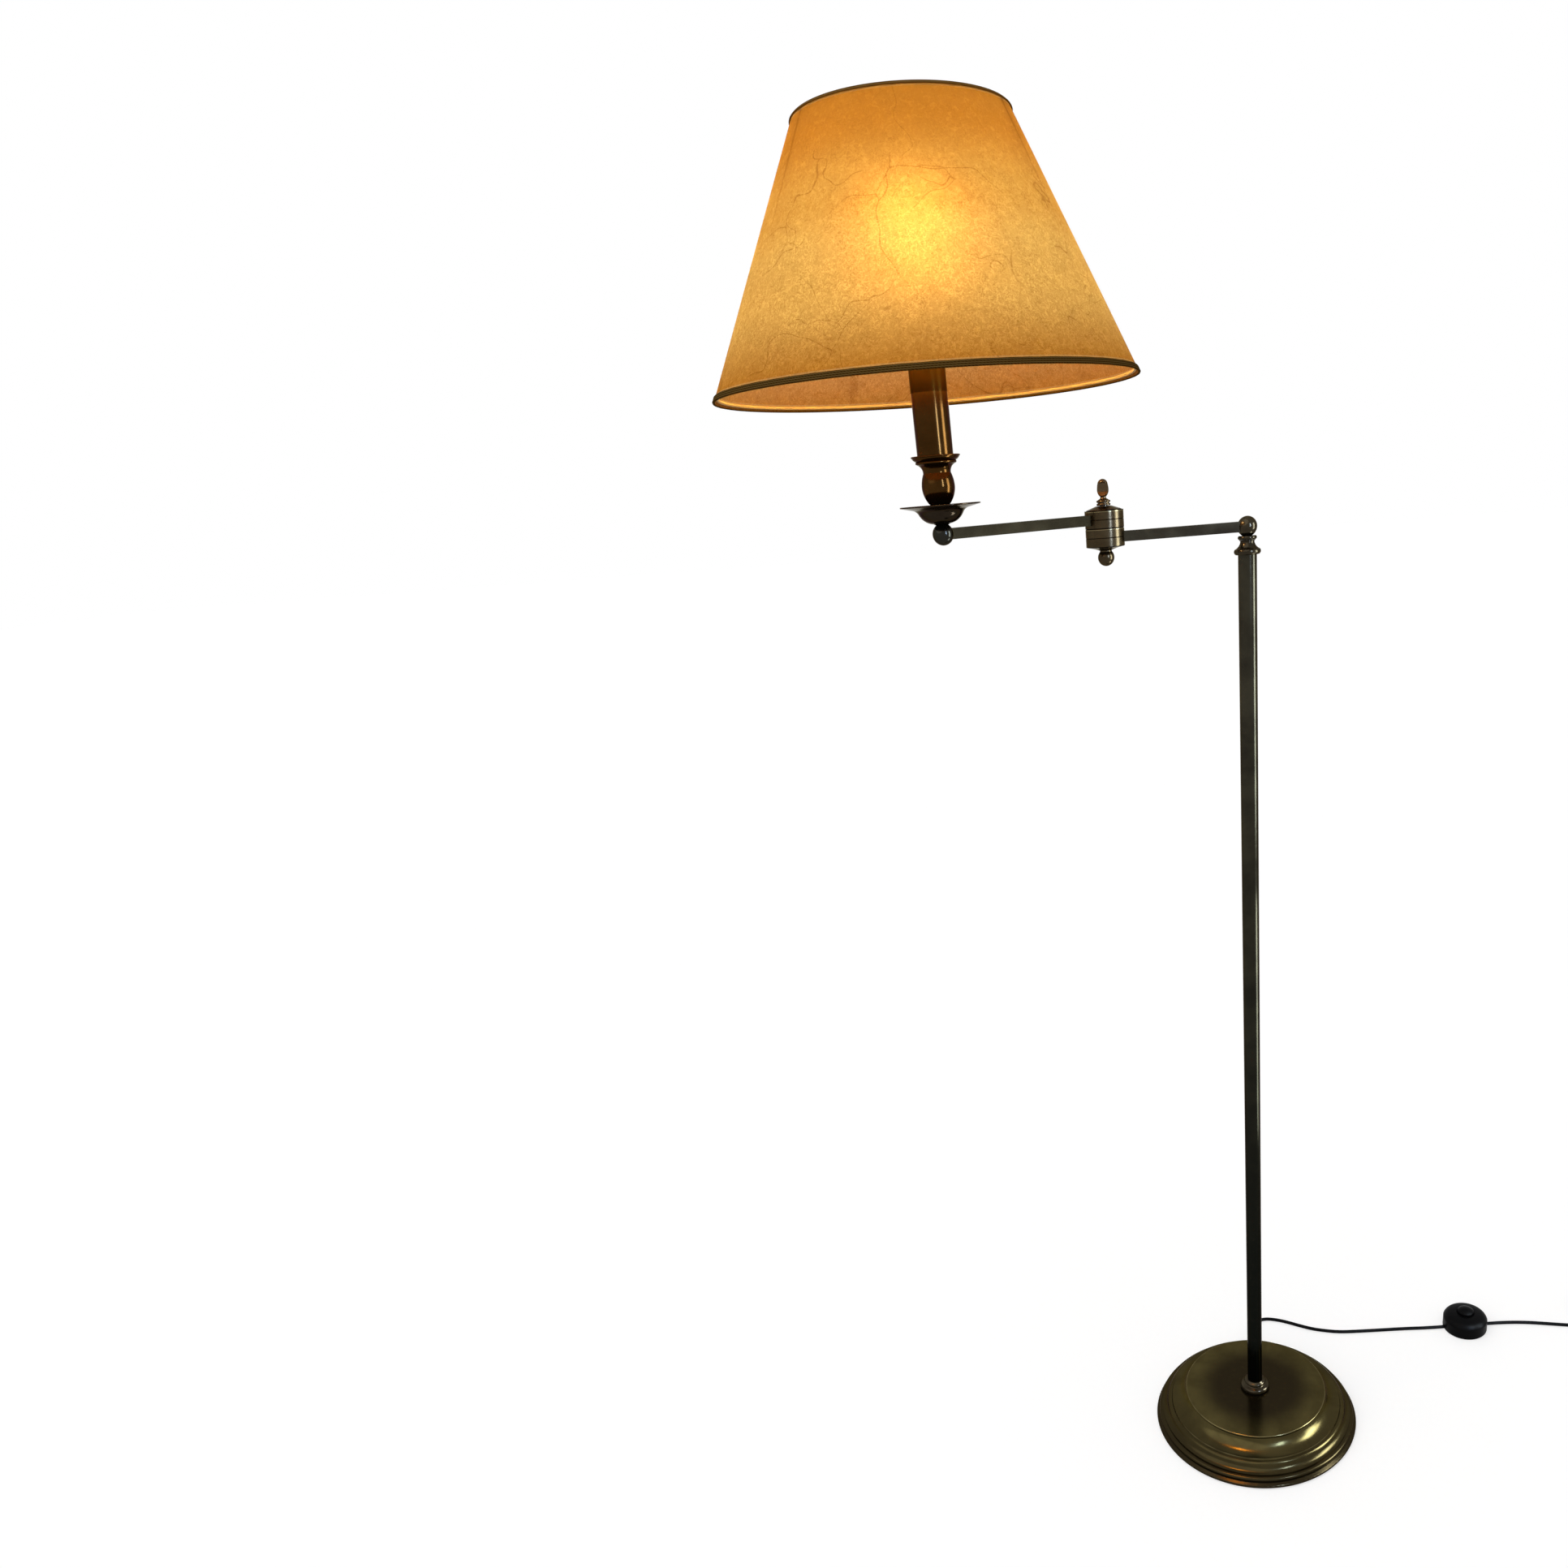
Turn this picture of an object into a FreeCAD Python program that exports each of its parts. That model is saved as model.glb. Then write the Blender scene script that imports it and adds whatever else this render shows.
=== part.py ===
import FreeCAD, Part
import math
import os
import re
import Sketcher

# Adjustable floor reading lamp: a weighted round base, a stem, a two-piece swing arm with a vertical
# hinge at the stem and another at the elbow, and a candle-like lampholder under a paper cone shade.
# Millimetres. The stem's axis is the Z axis, the floor is z = 0 and the viewer stands towards -Y.

Vector = FreeCAD.Vector

SIZES = {
    # Swing arm
    "elbow_level": 1204,
    "arm_one_reach": 150,
    "arm_one_heading": 187.5,
    "arm_two_reach": 186,
    "arm_two_heading": 216,
    "bar_side": 10.5,
    "bar_wall": 1.2,
    "socket_floor": 5.2,
    "ball_radius": 10.5,
    # Base
    "base_radius": 140,
    "base_level": 49,
    "pad_inset": 3,
    "pad_thickness": 2,
    "weight_inset": 30,
    "weight_level": 27,
    "weight_boss_radius": 28,
    "recess_radius": 30,
    "recess_level": 14,
    "cover_wall": 1.5,
    "cord_hole_depth": 20,
    "relief_inset": 9,
    "relief_neck": 1.1,
    "channel_width": 10,
    "channel_level": 11,
    "nipple_radius": 5,
    "nipple_bore": 3.8,
    "washer_radius": 15,
    "washer_thickness": 2,
    "nut_across_corners": 19.6,
    "nut_thickness": 6,
    # Stem
    "stem_radius": 10,
    "stem_wall": 1.5,
    "foot_plug_length": 20,
    "stud_radius": 4,
    "stud_bore": 2.6,
    # Elbow
    "drum_radius": 20.5,
    "drum_half": 18,
    "drum_wall": 2,
    "drum_floor": 3,
    "hub_radius": 7,
    "hub_recess": 4,
    "groove_width": 0.8,
    "groove_depth": 0.5,
    "bolt_radius": 4,
    "bolt_chamfer": 0.8,
    "friction_thickness": 0.5,
    "ball_nut_radius": 8.75,
    "ball_drop": 11,
    "thumb_bore_level": 10.3,
    "pinch_radius": 12,
    "pinch_half_web": 2.2,
    "pinch_level": 20.5,
    # Holder, candle and lampholder
    "tube_radius": 17.5,
    "tube_wall": 0.8,
    "tube_foot": 55.5,
    "tube_length": 90,
    "tube_clearance": 0.4,
    "cap_ledge": 1.5,
    "flange_reach": 1.5,
    "skirt_radius": 19.5,
    "skirt_bore": 13.85,
    "contact_height": 6.5,
    "clamp_ring_reach": 7,
    "clamp_ring_height": 6,
    "clamp_grip_count": 18,
    "clamp_grip_radius": 1.6,
    "bulb_radius": 30,
    "bulb_wall": 0.9,
    "bulb_centre": 88,
    "bulb_shoulder_drop": 17,
    "bulb_cap_clearance": 0.65,
    "bulb_neck_clearance": 0.85,
    "pan_wall": 1.2,
    # Shade
    "shade_bottom_radius": 199,
    "shade_top_radius": 95,
    "shade_height": 216,
    "shade_drop": 28,
    "paper_thickness": 0.8,
    "wire_radius": 1.5,
    "trim_bottom_height": 7.6,
    "trim_top_height": 3.4,
    "trim_thickness": 1.1,
    "trim_fold": 1.2,
    "trim_overhang": 0.7,
    "rib_height": 0.5,
    "rib_flank": 0.25,
    "hoop_inset": 3.2,
    "carrier_level": 12.5,
    "carrier_ring_reach": 7.5,
    "carrier_thickness": 1.5,
    "carrier_arm_foot": 6,
    "carrier_arm_spread": 120,
    "carrier_first_heading": 223.8,
    # Cord, foot switch and plug
    "cord_radius": 2.5,
    "cord_start_x": 1.5,
    "relief_level": 6.5,
    "switch_x": 327,
    "switch_y": 199.3,
    "switch_heading": 8.5,
    "switch_radius": 32.5,
    "switch_level": 27,
    "gland_level": 3.1,
    "gland_radius": 3,
    "gland_reach": 0.8,
    "gland_depth": 1.7,
    "button_radius": 11.8,
    "button_travel": 3,
    "button_overtravel": 1,
    "button_rim": 1,
    "button_rim_drop": 2.7,
    "plug_x": 593,
    "plug_y": 201.9,
    "plug_heading": -9.5,
    "plug_relief_length": 22,
    "plug_thickness": 13.7,
    "plug_length": 36,
    "plug_width": 35.3,
    "plug_edge": 2.2,
    "pin_radius": 2,
    "pin_length": 19,
    "pin_spacing": 18.6,
    # Clearances
    "running_gap": 0.08,
    "turning_gap": 0.3,
    "seat_gap": 0.05,
}

# Hand-laid route of the cord from the base's strain relief to the foot switch
CORD_LAMP_SIDE = [
    (1.5, 160.0, 6.5), (1.5, 172.0, 6.5), (3.5, 187.0, 2.5), (11.0, 198.0, 2.5), (23.0, 203.5, 2.5),
    (39.0, 202.0, 2.5), (56.0, 197.0, 2.5), (76.0, 188.6, 2.5), (95.4, 181.6, 2.5), (114.9, 178.2, 2.5),
    (134.3, 176.4, 2.5), (153.9, 177.8, 2.5), (193.0, 182.4, 2.5), (240.0, 188.4, 2.5),
    (268.0, 190.6, 2.5), (294.06, 194.38, 2.5),
]

# Hand-laid route of the cord from the foot switch to the coil
CORD_PLUG_SIDE = [
    (359.94, 204.22, 2.5), (384.6, 207.9, 2.5), (422.0, 209.6, 2.5), (472.0, 205.6, 2.5),
    (514.0, 203.0, 2.5), (537.0, 203.0, 2.5),
]

# Hand-laid route of the short lead from the coil to the plug
CORD_PLUG_LEAD = [(547.0, 206.15, 9.7), (560.0, 206.15, 9.7), (575.0, 204.9, 6.85), (593.0, 201.9, 6.85)]

# Neat coil: the cord spirals in on the floor, climbs one layer and spirals out on top
COIL_CENTRE = (542.0, 244.5)
COIL_OUTER_RADIUS = 41.5
COIL_PITCH = 6.3
COIL_HALF_TURNS_IN = 7
COIL_HALF_TURNS_OUT = 6
COIL_LOW_LEVEL = 2.5
COIL_LAYER_RISE = 7.2
COIL_STRAIGHT_END = 5.0

ELBOW_X = "arm_one_reach * cos(arm_one_heading)"
ELBOW_Y = "arm_one_reach * sin(arm_one_heading)"
HOLDER_X = f"({ELBOW_X} + arm_two_reach * cos(arm_two_heading))"
HOLDER_Y = f"({ELBOW_Y} + arm_two_reach * sin(arm_two_heading))"

# Each bar crosses the middle of its own cup of the elbow, and the candle stands on the holder's ball
ARM_ONE_LEVEL = "(elbow_level - drum_half / 2)"
ARM_TWO_LEVEL = "(elbow_level + drum_half / 2)"
TUBE_FOOT = "(ball_radius + tube_foot)"
TUBE_TOP_LEVEL = f"({ARM_TWO_LEVEL} + {TUBE_FOOT} + tube_length)"

FLOOR = ("0", "0", "0")
BASE_TOP = ("0", "0", "base_level")
SWIVEL = ("0", "0", ARM_ONE_LEVEL)
ELBOW = (ELBOW_X, ELBOW_Y, "elbow_level")
DRUM_BOTTOM = (ELBOW_X, ELBOW_Y, "elbow_level - drum_half")
DRUM_TOP = (ELBOW_X, ELBOW_Y, "elbow_level + drum_half")
HOLDER = (HOLDER_X, HOLDER_Y, ARM_TWO_LEVEL)
TUBE_TOP = (HOLDER_X, HOLDER_Y, TUBE_TOP_LEVEL)
SHADE = (HOLDER_X, HOLDER_Y, f"{TUBE_TOP_LEVEL} - shade_drop")
SWITCH = ("switch_x", "switch_y", "0")

doc = FreeCAD.newDocument("FloorReadingLamp")
sheet = doc.addObject("Spreadsheet::Sheet", "Sizes")
aliases = []
nodes = []


# Sheet and formulas

def cell(name, value):
    """Keep a number in a cell of its own, and give the formula that reads it.

    A formula stays as it is, and a (formula, number) pair keeps the number as an offset."""
    if isinstance(value, str):
        return value
    start = ""
    if isinstance(value, tuple):
        start = value[0] + " + "
        value = value[1]
    aliases.append(name)
    address = "A" + str(len(aliases))
    sheet.set(address, str(value))
    sheet.setAlias(address, name)
    return start + name


def bound(formula):
    """Point each size that a formula names at its cell."""
    return re.sub(r"[a-z]\w*", lambda word: "Sizes." + word[0] if word[0] in aliases else word[0], formula)


def amount(formula):
    return float(sheet.evalExpression(bound(formula)))


def place(item, at, turn="0", axis=Vector(0, 0, 1)):
    """Tie an object's place and its turn about one axis to the sheet."""
    item.Placement = FreeCAD.Placement(Vector(), FreeCAD.Rotation(axis, 10))
    item.setExpression("Placement.Base.x", bound(at[0]))
    item.setExpression("Placement.Base.y", bound(at[1]))
    item.setExpression("Placement.Base.z", bound(at[2]))
    item.setExpression("Placement.Rotation.Angle", bound(turn))


def moved(at, turn, along, aside="0", up="0"):
    """Give the place that lies along, aside and up from another, seen after a turn about Z."""
    return (f"{at[0]} + ({along}) * cos({turn}) - ({aside}) * sin({turn})",
            f"{at[1]} + ({along}) * sin({turn}) + ({aside}) * cos({turn})",
            f"{at[2]} + {up}")


def node(item, label):
    item.Label = label
    nodes.append(item)
    return item


# Sketches

def corner(name, across, up):
    return ("corner", name, across, up)


def through(name, across, up):
    """A point that the arc between the two corners beside it runs through."""
    return ("through", name, across, up)


def domed(name):
    """An arc between the two corners beside it whose centre lies on the vertical axis."""
    return ("domed", name, "0", "0")


def dome_point(start, end):
    """Middle of the arc from start to end that is centred on the vertical axis."""
    level = (start.x ** 2 + start.y ** 2 - end.x ** 2 - end.y ** 2) / (2 * (start.y - end.y))
    centre = Vector(0, level, 0)
    outward = (start - centre) + (end - centre)
    return centre + outward.normalize() * (start - centre).Length


def draw(sketch, prefix, outline):
    """Draw a closed outline of lines and arcs whose points are all held by formulas."""
    points = []
    for kind, name, across, up in outline:
        formulas = (cell(f"{prefix}_{name}_across", across), cell(f"{prefix}_{name}_up", up))
        points.append((kind, name, formulas))
    sheet.recompute()
    spots = [Vector(amount(f[0]), amount(f[1]), 0) for kind, name, f in points]
    count = len(points)
    edges = []
    held = []
    for i in range(count):
        if points[i][0] != "corner":
            continue
        after = (i + 1) % count
        end = (i + 2) % count
        if points[after][0] == "through":
            edge = sketch.addGeometry(Part.Arc(spots[i], spots[after], spots[end]), False)
            guide = sketch.addGeometry(Part.Point(spots[after]), True)
            sketch.addConstraint(Sketcher.Constraint("PointOnObject", guide, 1, edge))
            held.append((after, guide, 1))
        elif points[after][0] == "domed":
            middle = dome_point(spots[i], spots[end])
            edge = sketch.addGeometry(Part.Arc(spots[i], middle, spots[end]), False)
            sketch.addConstraint(Sketcher.Constraint("PointOnObject", edge, 3, -2))
        else:
            edge = sketch.addGeometry(Part.LineSegment(spots[i], spots[after]), False)
        first = 1
        if (sketch.getPoint(edge, 1) - spots[i]).Length > (sketch.getPoint(edge, 2) - spots[i]).Length:
            first = 2
        edges.append((edge, first, 3 - first))
        held.append((i, edge, first))
    for i in range(len(edges)):
        edge, first, last = edges[i]
        after = edges[(i + 1) % len(edges)]
        sketch.addConstraint(Sketcher.Constraint("Coincident", edge, last, after[0], after[1]))
    for i, item, end in held:
        name = points[i][1]
        across, up = points[i][2]
        hold(sketch, "DistanceX", item, end, name + "_across", across, spots[i].x, -2)
        hold(sketch, "DistanceY", item, end, name + "_up", up, spots[i].y, -1)


def hold(sketch, kind, item, end, name, formula, value, axis):
    """Hold one coordinate of a sketch point, on the axis itself where the formula is plain 0."""
    if formula == "0":
        sketch.addConstraint(Sketcher.Constraint("PointOnObject", item, end, axis))
        return
    index = sketch.addConstraint(Sketcher.Constraint(kind, -1, 1, item, end, value))
    sketch.renameConstraint(index, name)
    sketch.setExpression("Constraints." + name, bound(formula))


def origin_plane(body, role):
    return [item for item in body.Origin.OriginFeatures if item.Role == role][0]


def sketch_on(body, name, role):
    sketch = body.newObject("Sketcher::SketchObject", name)
    sketch.AttachmentSupport = [(origin_plane(body, role), "")]
    sketch.MapMode = "FlatFace"
    return sketch


# Solids

def turned(label, at, outline, turn="0", axis=Vector(0, 0, 1), spindle="V_Axis"):
    """A piece turned about its own Z axis, or its X axis if it lies, from half of its section."""
    body = doc.addObject("PartDesign::Body", label + "_body")
    sketch = sketch_on(body, label + "_section", "XZ_Plane")
    draw(sketch, label, outline)
    spin = body.newObject("PartDesign::Revolution", label + "_turned")
    spin.Profile = sketch
    spin.ReferenceAxis = (sketch, [spindle])
    spin.Angle = 360
    sketch.Visibility = False
    body.Tip = spin
    place(body, at, turn, axis)
    body.Label = label + "_blank"
    return body


def lying(label, at, turn, outline):
    """A turned piece that lies along its own X axis; its section runs along, then up from that axis."""
    return turned(label, at, outline, turn, spindle="H_Axis")


def lying_rod(label, at, turn, radius, length):
    return lying(label, at, turn, [corner("near_axis", "0", "0"), corner("far_axis", length, "0"),
                                   corner("far", length, radius), corner("near", "0", radius)])


def padded(label, role, at, turn, outlines, length):
    """A piece of one section, drawn on an origin plane and padded along its normal."""
    body = doc.addObject("PartDesign::Body", label + "_body")
    sketch = sketch_on(body, label + "_section", role)
    for prefix, outline in outlines:
        draw(sketch, prefix, outline)
    pad = body.newObject("PartDesign::Pad", label + "_pad")
    pad.Profile = sketch
    pad.setExpression("Length", bound(length))
    body.Tip = pad
    place(body, at, turn)
    body.Label = label + "_blank"
    return body


def block(name, sides, at, turn="0"):
    """A box centred across its own Y and Z, that starts at its place and runs along its own X."""
    box = doc.addObject("Part::Box", name)
    box.setExpression("Length", bound(sides[0]))
    box.setExpression("Width", bound(sides[1]))
    box.setExpression("Height", bound(sides[2]))
    place(box, moved(at, turn, "0", f"-({sides[1]}) / 2", f"-({sides[2]}) / 2"), turn)
    return box


def cut(name, base, tool):
    result = doc.addObject("Part::Cut", name)
    result.Base = base
    result.Tool = tool
    return result


def ring_section(inner, outer, low, high):
    """Section of a plain ring or sleeve; an inner radius of 0 makes it a solid disc."""
    return [corner("low_in", inner, low), corner("low_out", outer, low),
            corner("high_out", outer, high), corner("high_in", inner, high)]


# Base

def base_pad():
    disc = ring_section("0", "base_radius - pad_inset", "0", "pad_thickness")
    node(turned("base_pad", FLOOR, disc), "base_pad")


def base_cover():
    """Spun cover: rolled foot, bead, hollow, lip, cove and a flat top."""
    spun = turned("base_cover", FLOOR, [
        corner("foot_in", ("base_radius", -2.6), 1.0),
        corner("foot_out", ("base_radius", -1.2), 1.0),
        through("foot_round", "base_radius", 3.0),
        corner("foot_top", ("base_radius", -1.2), 5.0),
        corner("groove_low", ("base_radius", -4.5), 6.6),
        corner("groove_top", ("base_radius", -4.5), 7.6),
        corner("bead_low", ("base_radius", -6.0), 8.2),
        through("bead_round", ("base_radius", -4.0), 10.9),
        corner("bead_top", ("base_radius", -6.0), 13.6),
        corner("step", ("base_radius", -9.0), 14.4),
        corner("band_low", ("base_radius", -8.5), 16.2),
        corner("band_top", ("base_radius", -8.5), 18.0),
        through("hollow", ("base_radius", -13.6), 19.9),
        corner("crest_low", ("base_radius", -16.5), 24.5),
        through("crest", ("base_radius", -17.4), 26.6),
        corner("crest_top", ("base_radius", -19.2), 28.0),
        corner("ledge", ("base_radius", -22.0), 28.2),
        corner("lip_low", ("base_radius", -22.6), 29.4),
        corner("lip_top", ("base_radius", -23.0), 30.8),
        through("cove", ("base_radius", -41.0), ("base_level", -11.0)),
        corner("neck_low", ("base_radius", -44.5), ("base_level", -5.0)),
        corner("neck_top", ("base_radius", -44.5), ("base_level", -3.4)),
        corner("disc_low", ("base_radius", -43.1), ("base_level", -2.4)),
        through("disc_round", ("base_radius", -42.6), ("base_level", -1.2)),
        corner("disc_edge", ("base_radius", -43.6), "base_level"),
        corner("hole_top", "nipple_radius + seat_gap", "base_level"),
        corner("hole_low", "nipple_radius + seat_gap", "base_level - cover_wall"),
        corner("neck_in", ("base_radius", -46.0), "base_level - cover_wall"),
        corner("cove_in_top", ("base_radius", -46.0), ("base_level", -5.5)),
        through("cove_in", ("base_radius", -42.2), ("base_level", -12.0)),
        corner("cove_in_low", ("base_radius", -24.6), 29.2),
        corner("ledge_in", ("base_radius", -23.8), 27.0),
        corner("crest_in", ("base_radius", -18.5), 23.6),
        through("hollow_in", ("base_radius", -15.0), 18.9),
        corner("band_in", ("base_radius", -10.4), 16.4),
        corner("step_in", ("base_radius", -10.6), 14.0),
        corner("bead_in_top", ("base_radius", -7.6), 12.6),
        corner("bead_in_low", ("base_radius", -7.6), 9.2),
        corner("groove_in", ("base_radius", -6.2), 6.4),
        corner("foot_in_top", ("base_radius", -2.6), 4.0),
    ])
    hole = lying_rod("cord_hole", ("cord_start_x", "base_radius - cord_hole_depth", "relief_level"), "90",
                     "cord_radius + relief_neck + seat_gap", "2 * cord_hole_depth")
    node(cut("base_cover", spun, hole), "base_cover")


def base_weight():
    """Cast disc with a boss up to the cover, a recess for the nut and a channel for the cord."""
    rim = "base_radius - weight_inset"
    cast = turned("base_weight", FLOOR, [
        corner("low_in", "recess_radius", "pad_thickness"),
        corner("low_out", rim, "pad_thickness"),
        corner("rim_low", rim, ("weight_level", -3.0)),
        corner("rim_top", (rim, -3.0), "weight_level"),
        corner("boss_low", "weight_boss_radius", "weight_level"),
        corner("boss_top", "weight_boss_radius", "base_level - cover_wall"),
        corner("bore_top", "nipple_radius + seat_gap", "base_level - cover_wall"),
        corner("bore_low", "nipple_radius + seat_gap", "recess_level"),
        corner("recess", "recess_radius", "recess_level"),
    ])
    channel = block("cord_channel", (rim, "channel_width", "2 * (channel_level - pad_thickness)"),
                    ("0", "recess_radius / 2", "pad_thickness"), "90")
    node(cut("base_weight", cast, channel), "base_weight")


def base_fastening():
    """Washer, hexagon nut and hollow threaded nipple that hold weight, cover and stem together."""
    node(turned("base_washer", ("0", "0", "recess_level - washer_thickness"),
                ring_section("nipple_radius + seat_gap", "washer_radius", "0", "washer_thickness")),
         "base_washer")
    hexagon = doc.addObject("Part::Prism", "nut_hexagon")
    hexagon.Polygon = 6
    hexagon.setExpression("Circumradius", bound("nut_across_corners / 2"))
    hexagon.setExpression("Height", bound("nut_thickness"))
    nut_level = "recess_level - washer_thickness - nut_thickness"
    place(hexagon, ("0", "0", nut_level))
    thread = doc.addObject("Part::Cylinder", "nut_thread")
    thread.setExpression("Radius", bound("nipple_radius + seat_gap"))
    thread.setExpression("Height", bound("nut_thickness"))
    place(thread, ("0", "0", nut_level))
    node(cut("base_nut", hexagon, thread), "base_nut")
    node(turned("base_nipple", FLOOR,
                ring_section("nipple_bore", "nipple_radius", f"{nut_level} - pad_thickness",
                             "base_level + foot_plug_length - pad_thickness")),
         "base_nipple")


def base_collar():
    """Two turned rings round the stem's foot."""
    node(turned("base_collar", BASE_TOP, [
        corner("bore_low", "stem_radius + seat_gap", "0"),
        corner("ring_low", ("stem_radius", 8.6), "0"),
        through("ring_round", ("stem_radius", 10.0), 3.3),
        corner("ring_top", ("stem_radius", 8.4), 6.6),
        corner("waist_low", ("stem_radius", 4.6), 8.0),
        corner("waist_top", ("stem_radius", 3.2), 9.0),
        through("bead_round", ("stem_radius", 4.9), 11.4),
        corner("bead_top", ("stem_radius", 3.2), 13.8),
        corner("top_out", ("stem_radius", 1.6), 15.0),
        corner("top_in", "stem_radius + seat_gap", 15.0),
    ]), "base_collar")


def base_relief():
    """Tapered strain relief where the cord leaves the back of the base."""
    at = ("cord_start_x", "base_radius - relief_inset", "relief_level")
    node(lying("base_relief", at, "90", [
        corner("inner_axis", "0", "0"),
        corner("tip_axis", "base_relief_tip_across", "0"),
        corner("tip", 29.0, ("cord_radius", 0.6)),
        corner("collar_top", 12.0, ("cord_radius", 1.9)),
        corner("collar_low", 9.5, ("cord_radius", 1.9)),
        corner("neck_top", 9.3, "cord_radius + relief_neck"),
        corner("neck_low", 1.3, "cord_radius + relief_neck"),
        corner("flange_top", 1.1, ("cord_radius", 1.8)),
        corner("flange_low", "0", "cord_radius + base_relief_flange_top_up"),
    ]), "base_relief")


# Stem

def stem():
    tube_bottom = "base_level"
    tube_top = f"{ARM_ONE_LEVEL} + stem_top_collar_flange_low_up"
    inner = "stem_radius - stem_wall"
    stem_top_collar()
    node(turned("stem_tube", FLOOR, ring_section(inner, "stem_radius", tube_bottom, tube_top)), "stem_tube")
    node(turned("stem_foot_plug", BASE_TOP,
                ring_section("nipple_radius + seat_gap", f"{inner} - seat_gap", "0", "foot_plug_length")),
         "stem_foot_plug")
    node(turned("swivel_stud", SWIVEL,
                ring_section("stud_bore", "stud_radius", ("stem_top_collar_spigot_low_up", 1.0), 4.6)),
         "swivel_stud")


def stem_top_collar():
    """Flange and flared neck on top of the stem, with a spigot inside the tube."""
    node(turned("stem_top_collar", SWIVEL, [
        corner("spigot_in", "stud_radius + seat_gap", "stem_top_collar_spigot_low_up"),
        corner("spigot_low", "stem_radius - stem_wall - seat_gap", -43.0),
        corner("spigot_top", "stem_radius - stem_wall - seat_gap", "stem_top_collar_flange_low_up"),
        corner("flange_low", ("stem_radius", 2.6), -28.0),
        through("flange_round", ("stem_radius", 4.3), -25.0),
        corner("flange_top", ("stem_radius", 3.4), -22.6),
        through("flare", ("stem_radius", -0.7), -19.4),
        corner("neck_low", ("stem_radius", -2.4), -16.0),
        corner("neck_top", ("stem_radius", -2.4), -14.4),
        corner("seat_low", ("stem_radius", -1.4), -13.8),
        corner("seat_top", ("stem_radius", -1.4), -13.3),
        corner("bore_top", "stud_radius + seat_gap", "stem_top_collar_seat_top_up"),
    ]), "stem_top_collar")


# Arm one and the lower half of the elbow

def swivel_ring():
    node(turned("swivel_ring", SWIVEL, [
        corner("bore_low", "stud_radius + running_gap", "stem_top_collar_seat_top_up + turning_gap"),
        corner("low_out", ("ball_radius", -1.5), "stem_top_collar_seat_top_up + turning_gap"),
        through("round", ("ball_radius", -0.4), -11.1),
        corner("top_out", ("ball_radius", -1.5), -9.2),
        corner("bore_top", "stud_radius + running_gap", "swivel_ring_top_out_up"),
    ]), "swivel_ring")


def stem_ball():
    """Ball that turns on the stud and carries the first arm bar in a square socket."""
    flat = "swivel_ring_top_out_up"
    ball = turned("stem_ball", SWIVEL, [
        corner("bore_low", "stud_radius + running_gap", flat),
        corner("flat_edge", f"sqrt(ball_radius ^ 2 - {flat} ^ 2)", flat),
        domed("waist"),
        corner("crown", "0", "ball_radius"),
        corner("bore_axis", "0", 5.0),
        corner("bore_top", "stud_radius + running_gap", 5.0),
    ])
    socket = block("stem_ball_socket", ("ball_radius", "bar_side", "bar_side"),
                   moved(SWIVEL, "arm_one_heading", "socket_floor"), "arm_one_heading")
    node(cut("stem_ball", ball, socket), "stem_ball")


def arm_bar(label, at, heading, length):
    """Square tube from a ball's socket to the hub of the elbow."""
    half = "bar_side / 2"
    bore = "bar_side / 2 - bar_wall"
    outside = [corner("a", f"-{half}", f"-{half}"), corner("b", half, f"-{half}"),
               corner("c", half, half), corner("d", f"-{half}", half)]
    inside = [corner("e", f"-({bore})", f"-({bore})"), corner("f", bore, f"-({bore})"),
              corner("g", bore, bore), corner("k", f"-({bore})", bore)]
    node(padded(label, "YZ_Plane", at, heading, [(label, outside), (label, inside)], length), label)


def arm_one_bar():
    length = "arm_one_reach - socket_floor - hub_radius - turning_gap"
    arm_bar("arm_one_bar", moved(SWIVEL, "arm_one_heading", "socket_floor"), "arm_one_heading", length)


DRUM_FACE = "(friction_thickness + turning_gap) / 2"


def drum_half(label, bore, level, heading, turn):
    """One cup of the elbow, closed towards the split, with a hub and a window for its arm bar."""
    cup = turned(label, ELBOW, [
        corner("face_in", bore, DRUM_FACE),
        corner("face_out", "drum_radius", DRUM_FACE),
        corner("groove_low", "drum_radius", "drum_half / 2 - groove_width / 2"),
        corner("groove_floor", "drum_radius - groove_depth", "drum_half / 2"),
        corner("groove_top", "drum_radius", "drum_half / 2 + groove_width / 2"),
        corner("rim_out", "drum_radius", "drum_half"),
        corner("rim_in", "drum_radius - drum_wall", "drum_half"),
        corner("floor_out", "drum_radius - drum_wall", f"{DRUM_FACE} + drum_floor"),
        corner("floor_in", "hub_radius", f"{DRUM_FACE} + drum_floor"),
        corner("hub_out", "hub_radius", "drum_half - hub_recess"),
        corner("hub_in", bore, "drum_half - hub_recess"),
    ], turn, Vector(1, 0, 0))
    window = block(label + "_window", ("drum_radius", "bar_side", "bar_side"),
                   moved((ELBOW_X, ELBOW_Y, level), heading, "hub_radius + turning_gap"), heading)
    node(cut(label, cup, window), label)


def lower_drum():
    drum_half("lower_drum", "bolt_radius + seat_gap", ARM_ONE_LEVEL, "arm_one_heading + 180", "180")


BALL_FLAT = "sqrt(ball_nut_radius ^ 2 - lower_lid_neck_top_across ^ 2)"


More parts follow.
